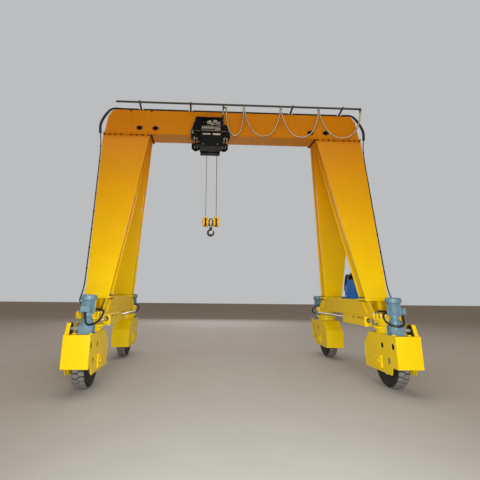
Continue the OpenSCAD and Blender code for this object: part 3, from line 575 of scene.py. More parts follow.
around = np.linspace(0, 2 * math.pi, 288, endpoint=False)
fins = 0.113 + 0.013 * np.clip(2.2 * np.cos(36 * around) - 0.6, 0, 1)
cast = [turned(MOTOR, Z, [(0.374, fins - 0.003), (0.380, fins), (0.580, fins), (0.587, fins - 0.003)], 288)]
cast += [turned(COWL, Z, [(0.0, r + 0.007), (0.006, r + 0.005), (0.007, r), (0.0, r - 0.002)], 40)
         for r in (0.110, 0.088, 0.066, 0.044)]
cast.append(turned(COWL, Z, [(0.0, 0.026), (0.008, 0.024), (0.010, 0.015)], 24))
cast += [turned(MOTOR + Z * z, Z, [(0.0, 0.1475), (0.004, 0.1525), (0.010, 0.1525), (0.014, 0.1475)], 64)
         for z in (0.628, 0.672)]
cast.append(turned(SHAFT, Z, [(0.148, 0.096), (0.156, 0.104), (0.168, 0.104), (0.172, 0.096)], 48))
for a in np.radians((20, 70, 110, 160, 200, 250, 290, 340)):
    d = np.array((math.cos(a), math.sin(a), 0.0))
    cast.append(tube([MOTOR + d * 0.088 + Z * 0.10, MOTOR + d * 0.098 + Z * 0.16, MOTOR + d * 0.094 + Z * 0.236],
                     [0.006, 0.007, 0.004], 8))
bolts = heads(circle(MOTOR + Z * 0.362, X, Y, 0.1035, 8, 0.39), -Z, 0.0075, 0.007)
bolts += heads(circle(SHAFT + X * 0.135, Y, Z, 0.064, 6), X, 0.006, 0.006)
bolts += heads(circle(MOTOR - X * 0.140 + Z * 0.102, Y, Z, 0.073, 8), -X, 0.0065, 0.006)
bolts += heads([MOTOR + (x, y, 0.018) for x in (-0.135, 0.115) for y in (-0.105, 0.105)], Z, 0.012, 0.012)
cap = [turned(SHAFT + X * 0.1352, X, [(0.0, 0.052), (0.010, 0.050), (0.014, 0.044), (0.014, 0.033)], 32),
       turned(SHAFT + X * 0.1352, X, [(0.010, 0.0315), (0.134, 0.0315), (0.139, 0.0305)], 28)]
lid = [block((0.192, -0.080, 0.402), (0.203, 0.080, 0.505), 0.004),
       block((0.150, -0.089, 0.420), (0.168, -0.084, 0.488), 0.002),
       block((0.108, -0.064, 0.408), (0.118, 0.064, 0.499), 0.004)]
lid += heads([(0.203, y, z) for y in (-0.068, 0.068) for z in (0.414, 0.493)], X, 0.005, 0.004)
for corner, side, end in CORNERS:
    # The right terminal boxes look outwards, the left ones along the sill
    faced = lid if side > 0 else [(np.stack([v[:, 1], -v[:, 0], v[:, 2]], -1), f) for v, f in lid]
    piece("motor_casting_" + corner, mirrored(cast + [(v + MOTOR, f) for v, f in faced], side, -end), "motor_blue",
          "bogie_" + corner)
at_corners("motor_bolts", bolts, "bare_steel", "bogie")
at_corners("bearing_cap", cap, "galvanised", "bogie")

# ---- Wheel box fittings ----
# Painted steel: axle keepers with their bolts, a ring of bolts under the slewing drum, a bolted cover on the outer
# side, weld beads where the box's plates meet, and a bent sheet guard welded on before each sprocket.
HUB_X, HUB_Y, BOX_HALF = WHEEL[0], WHEEL[1], 0.240
IN_X, OUT_X = HUB_X - BOX_HALF, HUB_X + BOX_HALF


def bead(points, r=0.006):
    """A weld bead: a low tube along a line, with a ripple every 11 mm."""
    p = np.array(points, float)
    p = np.concatenate([np.linspace(a, b, max(3, int(np.linalg.norm(b - a) / 0.0037)), endpoint=False)
                        for a, b in zip(p[:-1], p[1:])] + [p[-1:]])
    return tube(p, r * (0.9 + 0.16 * np.cos(np.arange(len(p)) * 2 * math.pi / 3)), 6)


def round_bead(r, z, thick):
    """A weld bead round the slewing axis."""
    at = np.array((HUB_X, HUB_Y, z))
    return tube(circle(at, X, Y, r, 96) + [at + X * r], thick, 6)


def capped(at, axis, r, height):
    """A stud with a nut: a hexagon and the thread's end."""
    return hexagon(at, axis, r, height) + [turned(at, axis, [(0.0, 0.55 * r), (1.6 * height, 0.55 * r),
                                                             (1.75 * height, 0.45 * r)], 12)]


bolts = heads([(IN_X - 0.025, HUB_Y + y, TYRE_R + z) for y in (-0.085, 0.085) for z in (-0.085, 0.085)],
              -X, 0.015, 0.013)
bolts += heads([(IN_X - 0.052, HUB_Y + y, TYRE_R + 0.041) for y in (-0.055, 0.055)], -X, 0.011, 0.009)
bolts += hexagon((IN_X - 0.045, HUB_Y, TYRE_R), -X, 0.024, 0.010)
for p in circle((HUB_X, HUB_Y, 1.140), X, Y, 0.262, 24, 0.13):
    bolts += capped(p, -Z, 0.013, 0.012)
bolts += heads(circle((HUB_X, HUB_Y, 1.175), X, Y, 0.262, 24, 0.13), Z, 0.013, 0.012)
bolts += heads([(OUT_X + 0.006, y, z) for y in np.linspace(HUB_Y - 0.540, HUB_Y + 0.240, 8) for z in (0.578, 0.912)],
               X, 0.008, 0.007)
plates = [block((IN_X - 0.052, HUB_Y - 0.075, TYRE_R + 0.022), (IN_X - 0.040, HUB_Y + 0.075, TYRE_R + 0.060), 0.002),
          block((OUT_X, HUB_Y - 0.560, 0.560), (OUT_X + 0.006, HUB_Y + 0.260, 0.930), 0.003)]
marks = [bead([(x, HUB_Y + y, z) for y, z in ((-0.724, 0.462), (-0.724, 1.040), (0.349, 1.040), (0.606, 0.782),
                                              (0.606, 0.322))], 0.005) for x in (IN_X - 0.001, OUT_X + 0.001)]
marks += [round_bead(0.2385, 1.0405, 0.006),
          bead([(HUB_X - 0.238, HUB_Y - 0.7245, 0.464), (HUB_X + 0.238, HUB_Y - 0.7245, 0.464)], 0.004),
          bead([(OUT_X + 0.001, HUB_Y - 0.300, 1.243), (OUT_X + 0.001, HUB_Y - 0.240, 1.042)], 0.004)]
# The guard is one sheet, bent round the sprocket's front and lapped on its side plate
guard = []
for z, y in ((1.0405, -2.540), (1.060, -2.530), (1.150, -2.491), (1.235, -2.456), (1.245, -2.453)):
    bend = [(3.2905 - 0.012 * (1 - math.cos(k)), y + 0.018 - 0.012 * math.sin(k)) for k in (0.2, 0.8, 1.37)]
    fold = [(3.2965 - 0.018 * (1 - math.cos(k)), y + 0.018 - 0.018 * math.sin(k)) for k in (1.37, 0.8, 0.2)]
    outline = [(3.2965, -2.280), (3.2905, -2.280)] + bend + [(3.2105, y + 0.006), (3.2105, y)] + fold
    guard.append([(px, py, z) for px, py in outline])
pads = [block((x, -2.500, 1.0405), (x + 0.058, -2.446, 1.066)) for x in (2.802, 3.102)]
at_corners("chain_guard", [skin(guard)] + pads, "crane_yellow", "bogie")
at_corners("box_bolts", bolts, "crane_yellow", "bogie")
at_corners("box_covers", plates, "crane_yellow", "bogie")
at_corners("box_welds", marks, "crane_yellow", "bogie")

# ---- Joint bolts ----
# Rows of dark bolts through the leg's two joint plates: round the foot, along the girder's flange, and in a double row
# at the leg's inner edge.
SMALL, MIDDLE, LARGE = (0.0108, 0.013), (0.0165, 0.013), (0.020, 0.022)
bolts = []
for x, y in ([(x, -1.1545) for x in np.linspace(2.835, 3.265, 6)]
             + [(x, y) for y in np.linspace(-1.475, -1.205, 5) for x in (2.785, 3.315)]):
    bolts += capped((x, y, 1.725), Z, *MIDDLE) + capped((x, y, 1.675), -Z, *MIDDLE)
for x in (2.36, 2.515, 2.67, 2.825, 3.11, 3.265, 3.42, 3.555):
    bolts += capped((x, -0.270, 6.070), Z, *MIDDLE) + capped((x, -0.290, 6.025), -Z, *LARGE)
for y in np.arange(-0.300, -0.02, 0.045):
    bolts += capped((2.272, y, 6.025), -Z, *SMALL) + capped((2.300, y, 6.025), -Z, *SMALL)
at_corners("joint_bolts", bolts, "hook_black")

# ---- Leg and girder welds ----
# Beads along the legs' webs, the girder's flanges and butt joints, and small lifting eyes on the girder.
marks = []
for corner, side, end in CORNERS:
    for x0, x1 in ((2.8365, 2.3515), (3.2635, 3.5585)):
        marks += mirrored([bead([(x0, -1.172, 1.728), (x1, -0.016, 6.022)]),
                           bead([(x0, -1.484, 1.728), (x1, -0.249, 6.022)])], side, -end)
    marks += mirrored([bead([(2.803, -1.5005, 1.7255), (3.297, -1.5005, 1.7255)]),
                       bead([(2.32, -0.2655, 6.0245), (3.59, -0.2655, 6.0245)])], side, -end)
for s in (-1, 1):
    marks.append(bead([(-3.55, s * 0.216, 6.0705), (3.55, s * 0.216, 6.0705)], 0.007))
    marks += [bead([(x, s * 0.2152, 6.075), (x, s * 0.2152, 6.798)], 0.0045) for x in (-2.88, -2.325, 1.35, 2.90)]
for x in (-2.0, 2.0):
    eye = [(x - 0.05, 0, 6.798), (x - 0.05, 0, 6.830), (x - 0.03, 0, 6.862), (x, 0, 6.872), (x + 0.03, 0, 6.862),
           (x + 0.05, 0, 6.830), (x + 0.05, 0, 6.798)]
    marks.append(tube(smooth(eye, 0.008), 0.009, 10))
piece("welds", marks, "crane_yellow", "structure")

# ---- Web hole trims ----
# Oval rubber edging pressed into the round holes in the girder's webs, where cables may pass. It grips the web's
# edge.
turn = np.linspace(0, 2 * math.pi, 56)
trims = [tube(np.stack([x + 0.079 * np.cos(turn), np.full(56, y), 6.260 + 0.056 * np.sin(turn)], -1), 0.0098, 8)
         for x in (-2.63, -2.19, 2.19, 2.63) for y in (-0.2165, 0.2165)]
piece("hole_trims", trims, "cable_rubber", "structure")

# ---- Cable clips ----
# Saddles that hold the power cable to brackets on the leg's outer edge and to the girder's top, each with a screw.
# Glands screwed into the pedestals hold its two ends.
low_end, high_end = (np.array(power_half[k]) for k in (9, 11))
t = (high_end - low_end) / np.linalg.norm(high_end - low_end)
clips = []
for z in low_end[2] + np.linspace(0.04, 0.96, 8) * (high_end[2] - low_end[2]):
    # The cable's point at this height on the right leg
    away = np.abs(power_path[:, 2] - z) + 9.0 * (power_path[:, 0] < 0) + 9.0 * (power_path[:, 1] < -1.5)
    p = power_path[np.argmin(away)]
    edge = 3.30 + (p[2] - 1.7) / 4.35 * 0.295
    clips += [turned(p - t * 0.014, t, [(0.0, 0.0165), (0.003, 0.0185), (0.025, 0.0185), (0.028, 0.0165)], 20),
              block((edge - 0.004, p[1] - 0.010, p[2] - 0.003), (p[0] - 0.010, p[1] + 0.010, p[2] + 0.003), 0.001)]
clips = mirrored(clips, -1) + clips
for x in np.arange(-2.9, 2.95, 0.58):
    clips += [turned((x - 0.014, -0.200, 6.8135), X, [(0.0, 0.0155), (0.003, 0.0175), (0.025, 0.0175),
                                                      (0.028, 0.0155)], 20),
              block((x - 0.014, -0.245, 6.800), (x + 0.014, -0.180, 6.804), 0.001)]
    clips += hexagon((x, -0.232, 6.804), Z, 0.006, 0.006)
clips += [block((x - 0.020, -0.232, 6.750), (x + 0.020, -0.215, 6.790), 0.004) for x in (-2.895, -2.316)]
piece("cable_clips", clips, "hook_black", "structure")
for corner, s in (("left_front", -1), ("right_front", 1)):
    piece("power_gland_" + corner, mirrored(gland((3.280, -1.580, 1.560), X, 0.013), s), "hook_black", "structure")

# ---- Hydraulic unit fittings ----
# On the tank: breather cap, filler, cover bolts, level gauge and drain plug. Bent steel pipes run from the valve
# block down onto the sill and into it, and cooling fins stand round the pump motor.
LID_Z, PORT_Z, PIPES_Y = 2.152, 2.284, (-0.515, -0.470, -0.425)
caps = [turned((3.13, -0.85, LID_Z), Z, [(0.0, 0.038), (0.006, 0.038), (0.008, 0.028), (0.030, 0.028), (0.034, 0.034),
                                         (0.052, 0.034), (0.058, 0.028)], 28),
        turned((3.14, -0.45, LID_Z), Z, [(0.0, 0.050), (0.010, 0.050), (0.012, 0.040), (0.060, 0.040),
                                         (0.066, 0.030)], 28)]
caps += heads([(2.965, -0.944, z) for z in (1.812, 2.028)], -Y, 0.010, 0.009)
caps += hexagon((3.10, -0.930, 1.745), -Y, 0.016, 0.014)
caps += heads([(x, y, LID_Z) for x in np.linspace(2.855, 3.205, 5) for y in (-0.936, -0.334)]
              + [(x, y, LID_Z) for y in np.linspace(-0.85, -0.42, 4) for x in (2.834, 3.226)], Z, 0.007, 0.006)
piece("tank_caps", caps, "galvanised", "structure")
piece("tank_gauge", [block((2.945, -0.944, 1.800), (2.985, -0.930, 2.040), 0.004)], "rim_paint", "structure")
pipes, joints = [], []
for k, y in enumerate(PIPES_Y):
    x = 2.880 + 0.035 * k
    route = [(2.862, y, PORT_Z), (2.838, y, PORT_Z), (2.828, y + 0.010, 2.265), (2.830, y + 0.10, 2.13),
             (2.840, -0.300 + 0.02 * k, 2.02), (2.850, -0.270 + 0.02 * k, 1.90), (x - 0.01, -0.200, 1.775),
             (x, -0.080, 1.722), (x, 0.060, 1.722), (x, 0.140, 1.740), (x, 0.180, 1.735), (x, 0.195, 1.704)]
    pipes.append(tube(smooth(route, 0.012), 0.0105, 10))
    joints += [turned((2.862, y, PORT_Z), -X, [(-0.004, 0.016), (0.014, 0.016), (0.016, 0.012), (0.022, 0.012)], 6),
               turned((x, 0.195, 1.700), Z, [(0.0, 0.017), (0.018, 0.017), (0.020, 0.013), (0.028, 0.013)], 6)]
joints += [turned((2.992, y, PORT_Z), X, [(0.0, 0.014), (0.012, 0.014), (0.014, 0.008), (0.020, 0.008)], 6)
           for y in PIPES_Y]
piece("hydraulic_pipes", pipes, "hook_black", "structure")
piece("pipe_joints", joints, "bare_steel", "structure")


def finned(at, axis, low, high, r, rise, count):
    """A ring of cooling fins on a motor, between two places on its axis."""
    fins = r + rise * np.clip(2.0 * np.cos(count * around) - 0.5, 0, 1)
    return turned(at, axis, [(low, fins - 0.002), (low + 0.005, fins), (high - 0.005, fins), (high, fins - 0.002)], 288)


pump = np.array((2.96, -0.680, 2.164))
fins = [finned(pump, Z, 0.052, 0.193, 0.0755, 0.007, 24)]
fins += [turned(pump + Z * 0.2295, Z, [(0.0, r + 0.005), (0.004, r + 0.003), (0.004, r), (0.0, r - 0.001)], 32)
         for r in (0.064, 0.048, 0.032)]
fins.append(block((2.846, -0.716, 2.262), (2.852, -0.644, 2.316), 0.002))
piece("pump_motor_fins", fins, "dark_paint", "structure")

# ---- Steering fittings ----
# A steel pin through each rod's fork and the bogie's steering arm, held by a flat head and a nut, and a rubber seal
# where the rod leaves its case.
x, y = 2.80, -1.85
pin = [turned((x, y, 1.26), Z, [(-0.046, 0.012), (-0.042, 0.015), (0.0262, 0.015)], 24),
       turned((x, y, 1.2852), Z, [(0.0, 0.026), (0.001, 0.027), (0.0025, 0.027), (0.0036, 0.025)], 28),
       turned((x, y, 1.2348), -Z, [(0.0, 0.026), (0.006, 0.026)], 24)] + hexagon((x, y, 1.2288), -Z, 0.017, 0.010)
at_corners("steering_pin", pin, "bare_steel", "rod")
for corner, side, end in CORNERS:
    seal = turned((x, -1.540 if end < 0 else -0.220, 1.26), Y * end, [(0.0, 0.0465), (0.006, 0.0465), (0.010, 0.040),
                                                                      (0.010, 0.0285)], 32)
    piece("rod_seal_" + corner, mirrored([seal], side), "hook_black", "structure")

# ---- Pedestal fittings ----
# Bolts between the clamping sleeves of the slewing ring, smaller ones on its lower ring, and weld beads on the column.
bolts = []
for a in np.radians(np.arange(-200, 21, 20)):
    bolts += capped((HUB_X + 0.257 * math.cos(a), HUB_Y + 0.257 * math.sin(a), 1.415), Z, 0.0145, 0.013)
for a in np.radians(np.arange(-190, 11, 20)):
    bolts += hexagon((HUB_X + 0.272 * math.cos(a), HUB_Y + 0.272 * math.sin(a), 1.325), Z, 0.009, 0.008)
marks = [bead([(HUB_X - 0.2795, -1.5305, 1.6745), (HUB_X + 0.2795, -1.5305, 1.6745)], 0.004),
         round_bead(0.2065, 1.3255, 0.005)]
at_corners("ring_bolts", bolts, "galvanised")
at_corners("pedestal_welds", marks, "crane_yellow")

# ---- Festoon fittings ----
# Saddles and clamp plates under the carriers, the end clamp and the tow arm, rollers in the rail, and bolts on the
# rail's arms. Galvanised and bare steel, screwed on.
RAIL_TOP = 6.900


def saddle(x):
    """A clamp plate for the cables with its two screws."""
    low, high = CLAMP_Z - 0.012, CLAMP_Z + 0.006
    return [block((x - 0.026, FESTOON_Y - 0.034, low), (x + 0.026, FESTOON_Y + 0.034, high))] + heads(
        [(x, FESTOON_Y + y, low) for y in (-0.027, 0.027)], -Z, 0.005, 0.005)


for i, x in enumerate((0.260, 1.290, 2.360)):
    parts = saddle(x) + [turned((x + d, FESTOON_Y - 0.0155, RAIL_TOP - 0.0185), Y,
                                [(0.0, 0.011), (0.002, 0.0125), (0.029, 0.0125), (0.031, 0.011)], 24)
                         for d in (-0.030, 0.030)]
    parts.append(block((x - 0.040, FESTOON_Y - 0.004, RAIL_TOP - 0.060),
                       (x + 0.040, FESTOON_Y + 0.004, RAIL_TOP - 0.012), 0.002))
    piece(f"carrier_fittings_{i + 1}", parts, "bare_steel", f"carrier_{i + 1}")
parts = saddle(3.545)
for x in (-2.620, -1.220, 1.640, 3.060):
    for y in (-0.125, -0.062):
        parts += capped((x, y, 6.832), Z, 0.010, 0.009)
    parts += hexagon((x, FESTOON_Y, RAIL_TOP + 0.022), Z, 0.009, 0.008)
parts += [block((x - 0.006, FESTOON_Y - 0.022, RAIL_TOP - 0.042), (x + 0.003, FESTOON_Y + 0.022, RAIL_TOP + 0.001),
                0.002) for x in (-3.252, 3.578)]
piece("rail_fittings", parts, "galvanised", "structure")
parts = saddle(-0.238) + [block((-0.330, -0.376, 6.640), (-0.290, -0.370, 6.790))]
parts += heads([(-0.310, -0.370, z) for z in (6.330, 6.480, 6.660, 6.770)], -Y, 0.009, 0.008)
piece("tow_arm_fittings", parts, "galvanised", "trolley")

# ---- Trolley fittings ----
# Bright tie rods with nuts, axle caps of the four wheel pairs, studs and knobs on the cheek plates, rings round their
# access holes, and stiffeners. Steel, bolted or welded on the cheeks.
TROLLEY_X, CHEEK_Y, TIE_Z, TROLLEY_WHEEL_Z, HOLE_Z = -0.65, 0.350, 5.920, 6.150, 6.065
ENDS = [TROLLEY_X + s * 0.410 for s in (-1, 1)]
bright, dark = [], []
for end_x in ENDS:
    for x in (end_x - 0.038, end_x + 0.038):
        bright.append(turned((x, -0.328, TIE_Z), Y, [(0.0, 0.0188), (0.656, 0.0188)], 24))
        for e in (-1, 1):
            at = (x, e * 0.366, TIE_Z)
            bright += hexagon(at, Y * e, 0.022, 0.018) + [turned(at, Y * e, [(0.0, 0.013), (0.030, 0.013),
                                                                             (0.032, 0.011)], 16)]
    for x in (end_x - 0.085, end_x + 0.085):
        for e in (-1, 1):
            dark.append(turned((x, e * CHEEK_Y, TROLLEY_WHEEL_Z), Y * e, [(0.0, 0.044), (0.008, 0.044),
                                                                          (0.011, 0.040)], 32))
            bright += hexagon((x, e * 0.361, TROLLEY_WHEEL_Z), Y * e, 0.015, 0.010)
for x, z, r in ((-1.105, 6.458, 0.013), (-1.037, 6.168, 0.012), (-1.092, 5.965, 0.013), (-0.250, 6.157, 0.013),
                (-0.249, 5.966, 0.013), (-1.16, 6.30, 0.009), (-0.20, 6.25, 0.009)):
    for e in (-1, 1):
        bright += capped((x, e * CHEEK_Y, z), Y * e, r, 0.012)
for e in (-1, 1):
    bright.append(turned((-1.145, e * CHEEK_Y, 6.084), Y * e, [(0.0, 0.014), (0.02, 0.014), (0.022, 0.024),
                                                               (0.040, 0.026), (0.048, 0.018)], 24))
    dark += [block((x - 0.008, e * CHEEK_Y, 5.90), (x + 0.008, e * 0.372, 6.30)) for x in (-0.93, -0.37)]
# On the sheave housing: a pale frame bar, the sheave axle's keeper and a rope anchor
bright += [block((-0.900, -0.122, 5.742), (-0.400, -0.112, 5.756)),
           block((-0.916, -0.122, 5.742), (-0.904, -0.112, 5.862))]
bright += heads([(x, -0.095, 5.765) for x in (-0.790, -0.510)], -Y, 0.024, 0.016)
bright += [block((-0.545, -0.128, 5.800), (-0.475, -0.110, 5.826)),
           tube([(-0.600, -0.125, 5.625), (-0.640, -0.130, 5.700), (-0.655, -0.128, 5.730)], 0.008, 10)]
for e in (-1, 1):
    for end_x in ENDS:
        dark.append(turned((end_x, e * CHEEK_Y, HOLE_Z), Y * e, [(0.0, 0.053), (0.005, 0.053), (0.007, 0.048)], 32))
        bright += [block((x - 0.011, e * 0.351, 5.838), (x + 0.011, e * 0.360, 5.948))
                   for x in (end_x - 0.038, end_x + 0.038)]
piece("trolley_rods", bright, "galvanised", "trolley")
piece("trolley_ribs", dark, "dark_paint", "trolley")

# ---- Cabinet contents ----
# Inside the open bay: pale contactors, terminal strips, a round isolator and cable ducts with bundled wires. The lower
# half has a closed door with hinges and two studs.
CABINET = np.array((TROLLEY_X, -0.74, 6.05))
pale, grey, wires, dark = [], [], [], []


def put(parts, low, high, edge=0.002):
    """Adds a block, placed from the middle of the cabinet's front."""
    parts.append(block(CABINET + low, CABINET + high, edge))


def wire(r, *points):
    """Adds a wire along some points, placed in the same way."""
    wires.append(tube(smooth([CABINET + p for p in points], 0.008), r, 6))


for i in range(4):
    x = -0.230 + 0.062 * i
    put(pale if i > 1 else dark, (x + 0.004, 0.072, 0.172), (x + 0.046, 0.092, 0.253), 0.003)
    put(grey, (x + 0.018, 0.064, 0.200), (x + 0.032, 0.074, 0.218))
    for k in range(3):
        at = x + 0.012 + 0.012 * k
        wire(0.003, (at, 0.082, 0.168), (at, 0.076, 0.150), (x + 0.012 + 0.014 * k, 0.110, 0.128))
put(pale, (0.066, 0.042, 0.138), (0.159, 0.062, 0.272), 0.004)
put(grey, (0.078, 0.036, 0.215), (0.147, 0.044, 0.262))
put(dark, (0.078, 0.036, 0.150), (0.147, 0.044, 0.196))
for i in range(7):
    x = -0.240 + 0.052 * i
    put(pale if i % 3 else grey, (x + 0.003, 0.094, 0.038), (x + 0.037, 0.112, 0.102))
    wire(0.0035, (x + 0.020, 0.098, 0.034), (x + 0.020, 0.094, 0.016), (x + 0.026, 0.120, -0.012))
put(grey, (-0.250, 0.118, 0.1205), (0.240, 0.131, 0.1345))
put(pale, (-0.245, 0.108, -0.036), (0.195, 0.122, 0.006))
for x in -0.238 + 0.0195 * np.arange(22):
    put(dark, (x, 0.104, -0.030), (x + 0.006, 0.110, 0.000), 0.001)
pale.append(turned(CABINET + (0.205, 0.100, 0.200), -Y, [(0.0, 0.034), (0.006, 0.034), (0.010, 0.028)], 32))
grey.append(turned(CABINET + (0.205, 0.090, 0.200), -Y, [(0.0, 0.016), (0.014, 0.015), (0.018, 0.011)], 20))
for k in range(9):
    x = -0.215 + 0.050 * k
    wire(0.0045, (x, 0.125, 0.290), (x + 0.004, 0.110, 0.275 - 0.004 * (k % 3)), (x + 0.02, 0.112, 0.268),
         (x + 0.045, 0.125, 0.288))
for s in (-1, 1):
    put(dark, (s * 0.275 - 0.008, -0.006, -0.072), (s * 0.275 + 0.008, 0.004, 0.302), 0.003)
    dark += [turned(CABINET + (s * 0.262, -0.010, z), Z, [(0.0, 0.008), (0.050, 0.008)], 12) for z in (-0.380, -0.200)]
pale += heads([CABINET + (x, -0.008, -0.452) for x in (-0.195, 0.175)], -Y, 0.009, 0.010)
put(dark, (-0.275, -0.006, 0.296), (0.275, 0.004, 0.312), 0.003)
# Two bare plates on the door's upper edge, and the pale backing plates of the bay
put(grey, (-0.218, -0.012, -0.188), (-0.010, -0.007, -0.142))
put(pale, (0.050, -0.012, -0.188), (0.250, -0.007, -0.142))
put(grey, (-0.110, 0.150, 0.112), (0.262, 0.160, 0.296))
put(grey, (-0.262, 0.150, -0.062), (0.262, 0.160, 0.108))
put(pale, (-0.060, 0.052, 0.196), (-0.004, 0.070, 0.262), 0.003)
put(pale, (0.000, 0.058, 0.142), (0.054, 0.074, 0.176), 0.003)
for name, parts, slot in (("switchgear_pale", pale, "rim_paint"), ("switchgear_grey", grey, "galvanised"),
                          ("switchgear_wires", wires, "cable_rubber"), ("cabinet_trim", dark, "dark_paint")):
    piece(name, parts, slot, "trolley")

# ---- Drum rope ----
# The steel hoist rope lies in the drum's grooves, and a straight lead runs from the drum to the sheave housing. Bolts
# hold the drum's end plates, and cooling fins stand round its motor and brake.
DRUM, GROOVE_R, GROOVES = np.array((TROLLEY_X, 0.560, 6.110)), 0.1655, 13
turns = np.linspace(0, 13.25 * 2 * math.pi, GROOVES * 60)
wound = np.stack([DRUM[0] - 0.2265 + 0.036 * (turns / (2 * math.pi)), DRUM[1] + GROOVE_R * np.sin(turns),
                  DRUM[2] + GROOVE_R * np.cos(turns)], -1)
lead = np.linspace((wound[-1][0], DRUM[1] - 0.155, DRUM[2] - 0.055), (-0.610, 0.105, 5.790), 60)
piece("drum_rope", [rope(wound, 12), rope(lead, 18)], "rope_steel", "trolley")
bolts = heads(circle((-1.170, *DRUM[1:]), Y, Z, 0.080, 6), -X, 0.009, 0.008)
bolts += heads(circle((-0.130, *DRUM[1:]), Y, Z, 0.080, 6), X, 0.009, 0.008)
for s in (-1, 1):
    bolts += heads(circle(DRUM + X * s * 0.300, Y, Z, 0.125, 10), X * s, 0.010, 0.009)
piece("drum_bolts", bolts, "bare_steel", "trolley")
piece("drum_motor_fins", [finned(DRUM, X, 0.305, 0.437, 0.118, 0.010, 32),
                          finned(DRUM, -X, 0.320, 0.453, 0.118, 0.010, 32)], "dark_paint", "trolley")

# ---- Hook block fittings ----
# Grooved sheaves between the guards, their pin caps, a bright collar in the middle, the hook's nut and its spring
# latch. Steel, bolted on the block or sprung on the hook.
BLOCK = np.array((-0.600, 0.0, 3.660))
sheaves, bright = [], []
for s in (-1, 1):
    at = BLOCK + X * s * 0.142
    sheaves.append(turned(at, X, [(-0.022, 0.124), (-0.018, 0.1265), (-0.006, 0.1195), (0.006, 0.1195),
                                  (0.018, 0.1265), (0.022, 0.124)], 64))
    bright.append(turned(at + X * s * 0.082, X * s, [(0.0, 0.034), (0.006, 0.034), (0.010, 0.028)], 28))
    bright += heads(circle(at + X * s * 0.072, Y, Z, 0.100, 6, 0.5), X * s, 0.008, 0.007)
    for y in (-1, 1):
        bright += heads([at + (x, y * 0.072, 0.105) for x in (-0.040, 0.040)], Y * y, 0.008, 0.007)
bright.append(turned(BLOCK + Z * 0.0765, Z, [(0.0, 0.046), (0.004, 0.048), (0.020, 0.044), (0.026, 0.030)], 32))
bright.append(turned(BLOCK - Z * 0.130, Z, [(0.0, 0.036), (0.004, 0.038), (0.030, 0.038), (0.034, 0.036)], 32))
for y in (-1, 1):
    bright += heads([BLOCK + (x, y * 0.071, -0.020) for x in (-0.045, 0.045)], Y * y, 0.010, 0.008)
sheaves.append(block(BLOCK - (0.0712, 0.0712, 0.0912), BLOCK + (0.0712, 0.0712, 0.0412), 0.006))
bright += [block(BLOCK + (-0.020, y * 0.071, -0.090), BLOCK + (0.020, y * 0.079, 0.060)) for y in (-1, 1)]
latch = [turned(BLOCK - Z * 0.215, -Z, [(0.0, 0.043), (0.004, 0.046), (0.010, 0.046), (0.014, 0.043)], 6),
         tube(smooth([BLOCK + p for p in ((0.030, 0.0, -0.220), (0.055, 0.0, -0.235), (0.070, 0.0, -0.262),
                                          (0.066, 0.0, -0.285))], 0.008), 0.006, 8)]
piece("block_sheaves", sheaves, "hook_black", "block")
piece("block_bolts", bright, "bare_steel", "block")
piece("hook_latch", latch, "bare_steel", "hook_body")


# ---- Floor and light ----
# A pale floor. Two soft lamps light the wheels and legs from low in front, a low one lights the girder from below,
# and warm ones hang overhead and on all four sides.
def lamp(name, at, aim, size, power, colour, cone=None):
    """A soft lamp: a spot where it has a cone in degrees, or a rectangle."""
    light = bpy.data.lights.new(name, "SPOT" if cone else "AREA")
    if cone:
        light.shadow_soft_size = size
        light.spot_size = math.radians(cone)
        light.spot_blend = 1.0
    else:
        light.shape = "RECTANGLE"
        light.size, light.size_y = size
    light.energy = power
    light.color = colour
    obj = bpy.data.objects.new(name, light)
    obj.location = at
    obj.rotation_mode = "QUATERNION"
    obj.rotation_quaternion = (Vector(aim) - Vector(at)).to_track_quat("-Z", "Y")
    obj.visible_camera = False
    bpy.context.scene.collection.objects.link(obj)


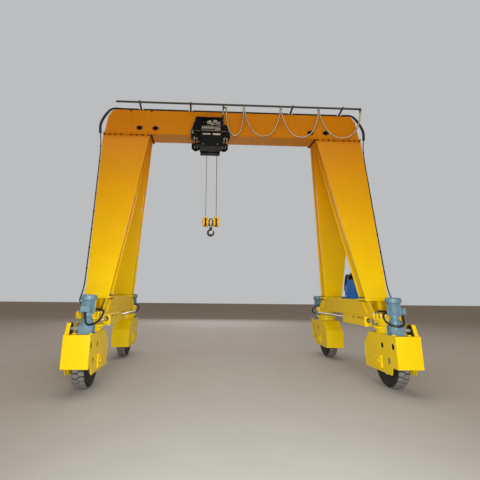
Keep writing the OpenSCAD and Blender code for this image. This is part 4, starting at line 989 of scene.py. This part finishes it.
mesh = bpy.data.meshes.new("floor")
mesh.from_pydata([(-60, -60, 0), (60, -60, 0), (60, 60, 0), (-60, 60, 0)], [], [(0, 1, 2, 3)])
mesh.materials.append(finish("floor_paint", (0.46, 0.48, 0.51), 0.85, shade=0.04, gleam=0.08))
floor = bpy.data.objects.new("floor", mesh)
bpy.context.scene.collection.objects.link(floor)

lamp("left_front_lamp", (-3.0, -13.5, 2.0), (2.4, -1.0, 0.3), 0.9, 4100.0, (0.90, 1.0, 0.92), 56.0)
lamp("right_front_lamp", (2.0, -13.5, 2.0), (-2.4, -1.0, 0.3), 0.9, 3750.0, (0.90, 1.0, 0.92), 56.0)
lamp("low_fill", (0.0, -8.6, 0.25), (0.0, 0.0, 6.2), (7.0, 1.2), 285.0, (1.0, 0.80, 0.52))
lamp("roof_lamp", (0.0, 0.0, 12.0), (0.0, 0.0, 0.0), (12.0, 12.0), 540.0, (1.0, 0.92, 0.80))
lamp("front_fill", (0.0, -16.0, 6.0), (0.0, 0.0, 4.0), (10.0, 5.0), 340.0, (1.0, 0.88, 0.72))
lamp("back_fill", (0.0, 17.0, 6.0), (0.0, 0.0, 3.0), (10.0, 5.0), 560.0, (1.0, 0.95, 0.88))
for x in (-17.0, 17.0):
    lamp("side_fill", (x, -2.0, 5.0), (0.0, 0.0, 2.5), (8.0, 5.0), 150.0, (1.0, 0.82, 0.60))
world = bpy.data.worlds.new("air")
world.use_nodes = True
w, link = world.node_tree.nodes, world.node_tree.links.new
seen = w.new("ShaderNodeLightPath")
backdrop = w.new("ShaderNodeBackground")
either = w.new("ShaderNodeMixShader")
w["Background"].inputs["Color"].default_value = (0.98, 0.735, 0.54, 1.0)
w["Background"].inputs["Strength"].default_value = 0.32
backdrop.inputs["Color"].default_value = (0.50, 0.51, 0.52, 1.0)
link(seen.outputs["Is Camera Ray"], either.inputs["Fac"])
link(w["Background"].outputs["Background"], either.inputs[1])
link(backdrop.outputs["Background"], either.inputs[2])
link(either.outputs["Shader"], w["World Output"].inputs["Surface"])
bpy.context.scene.world = world
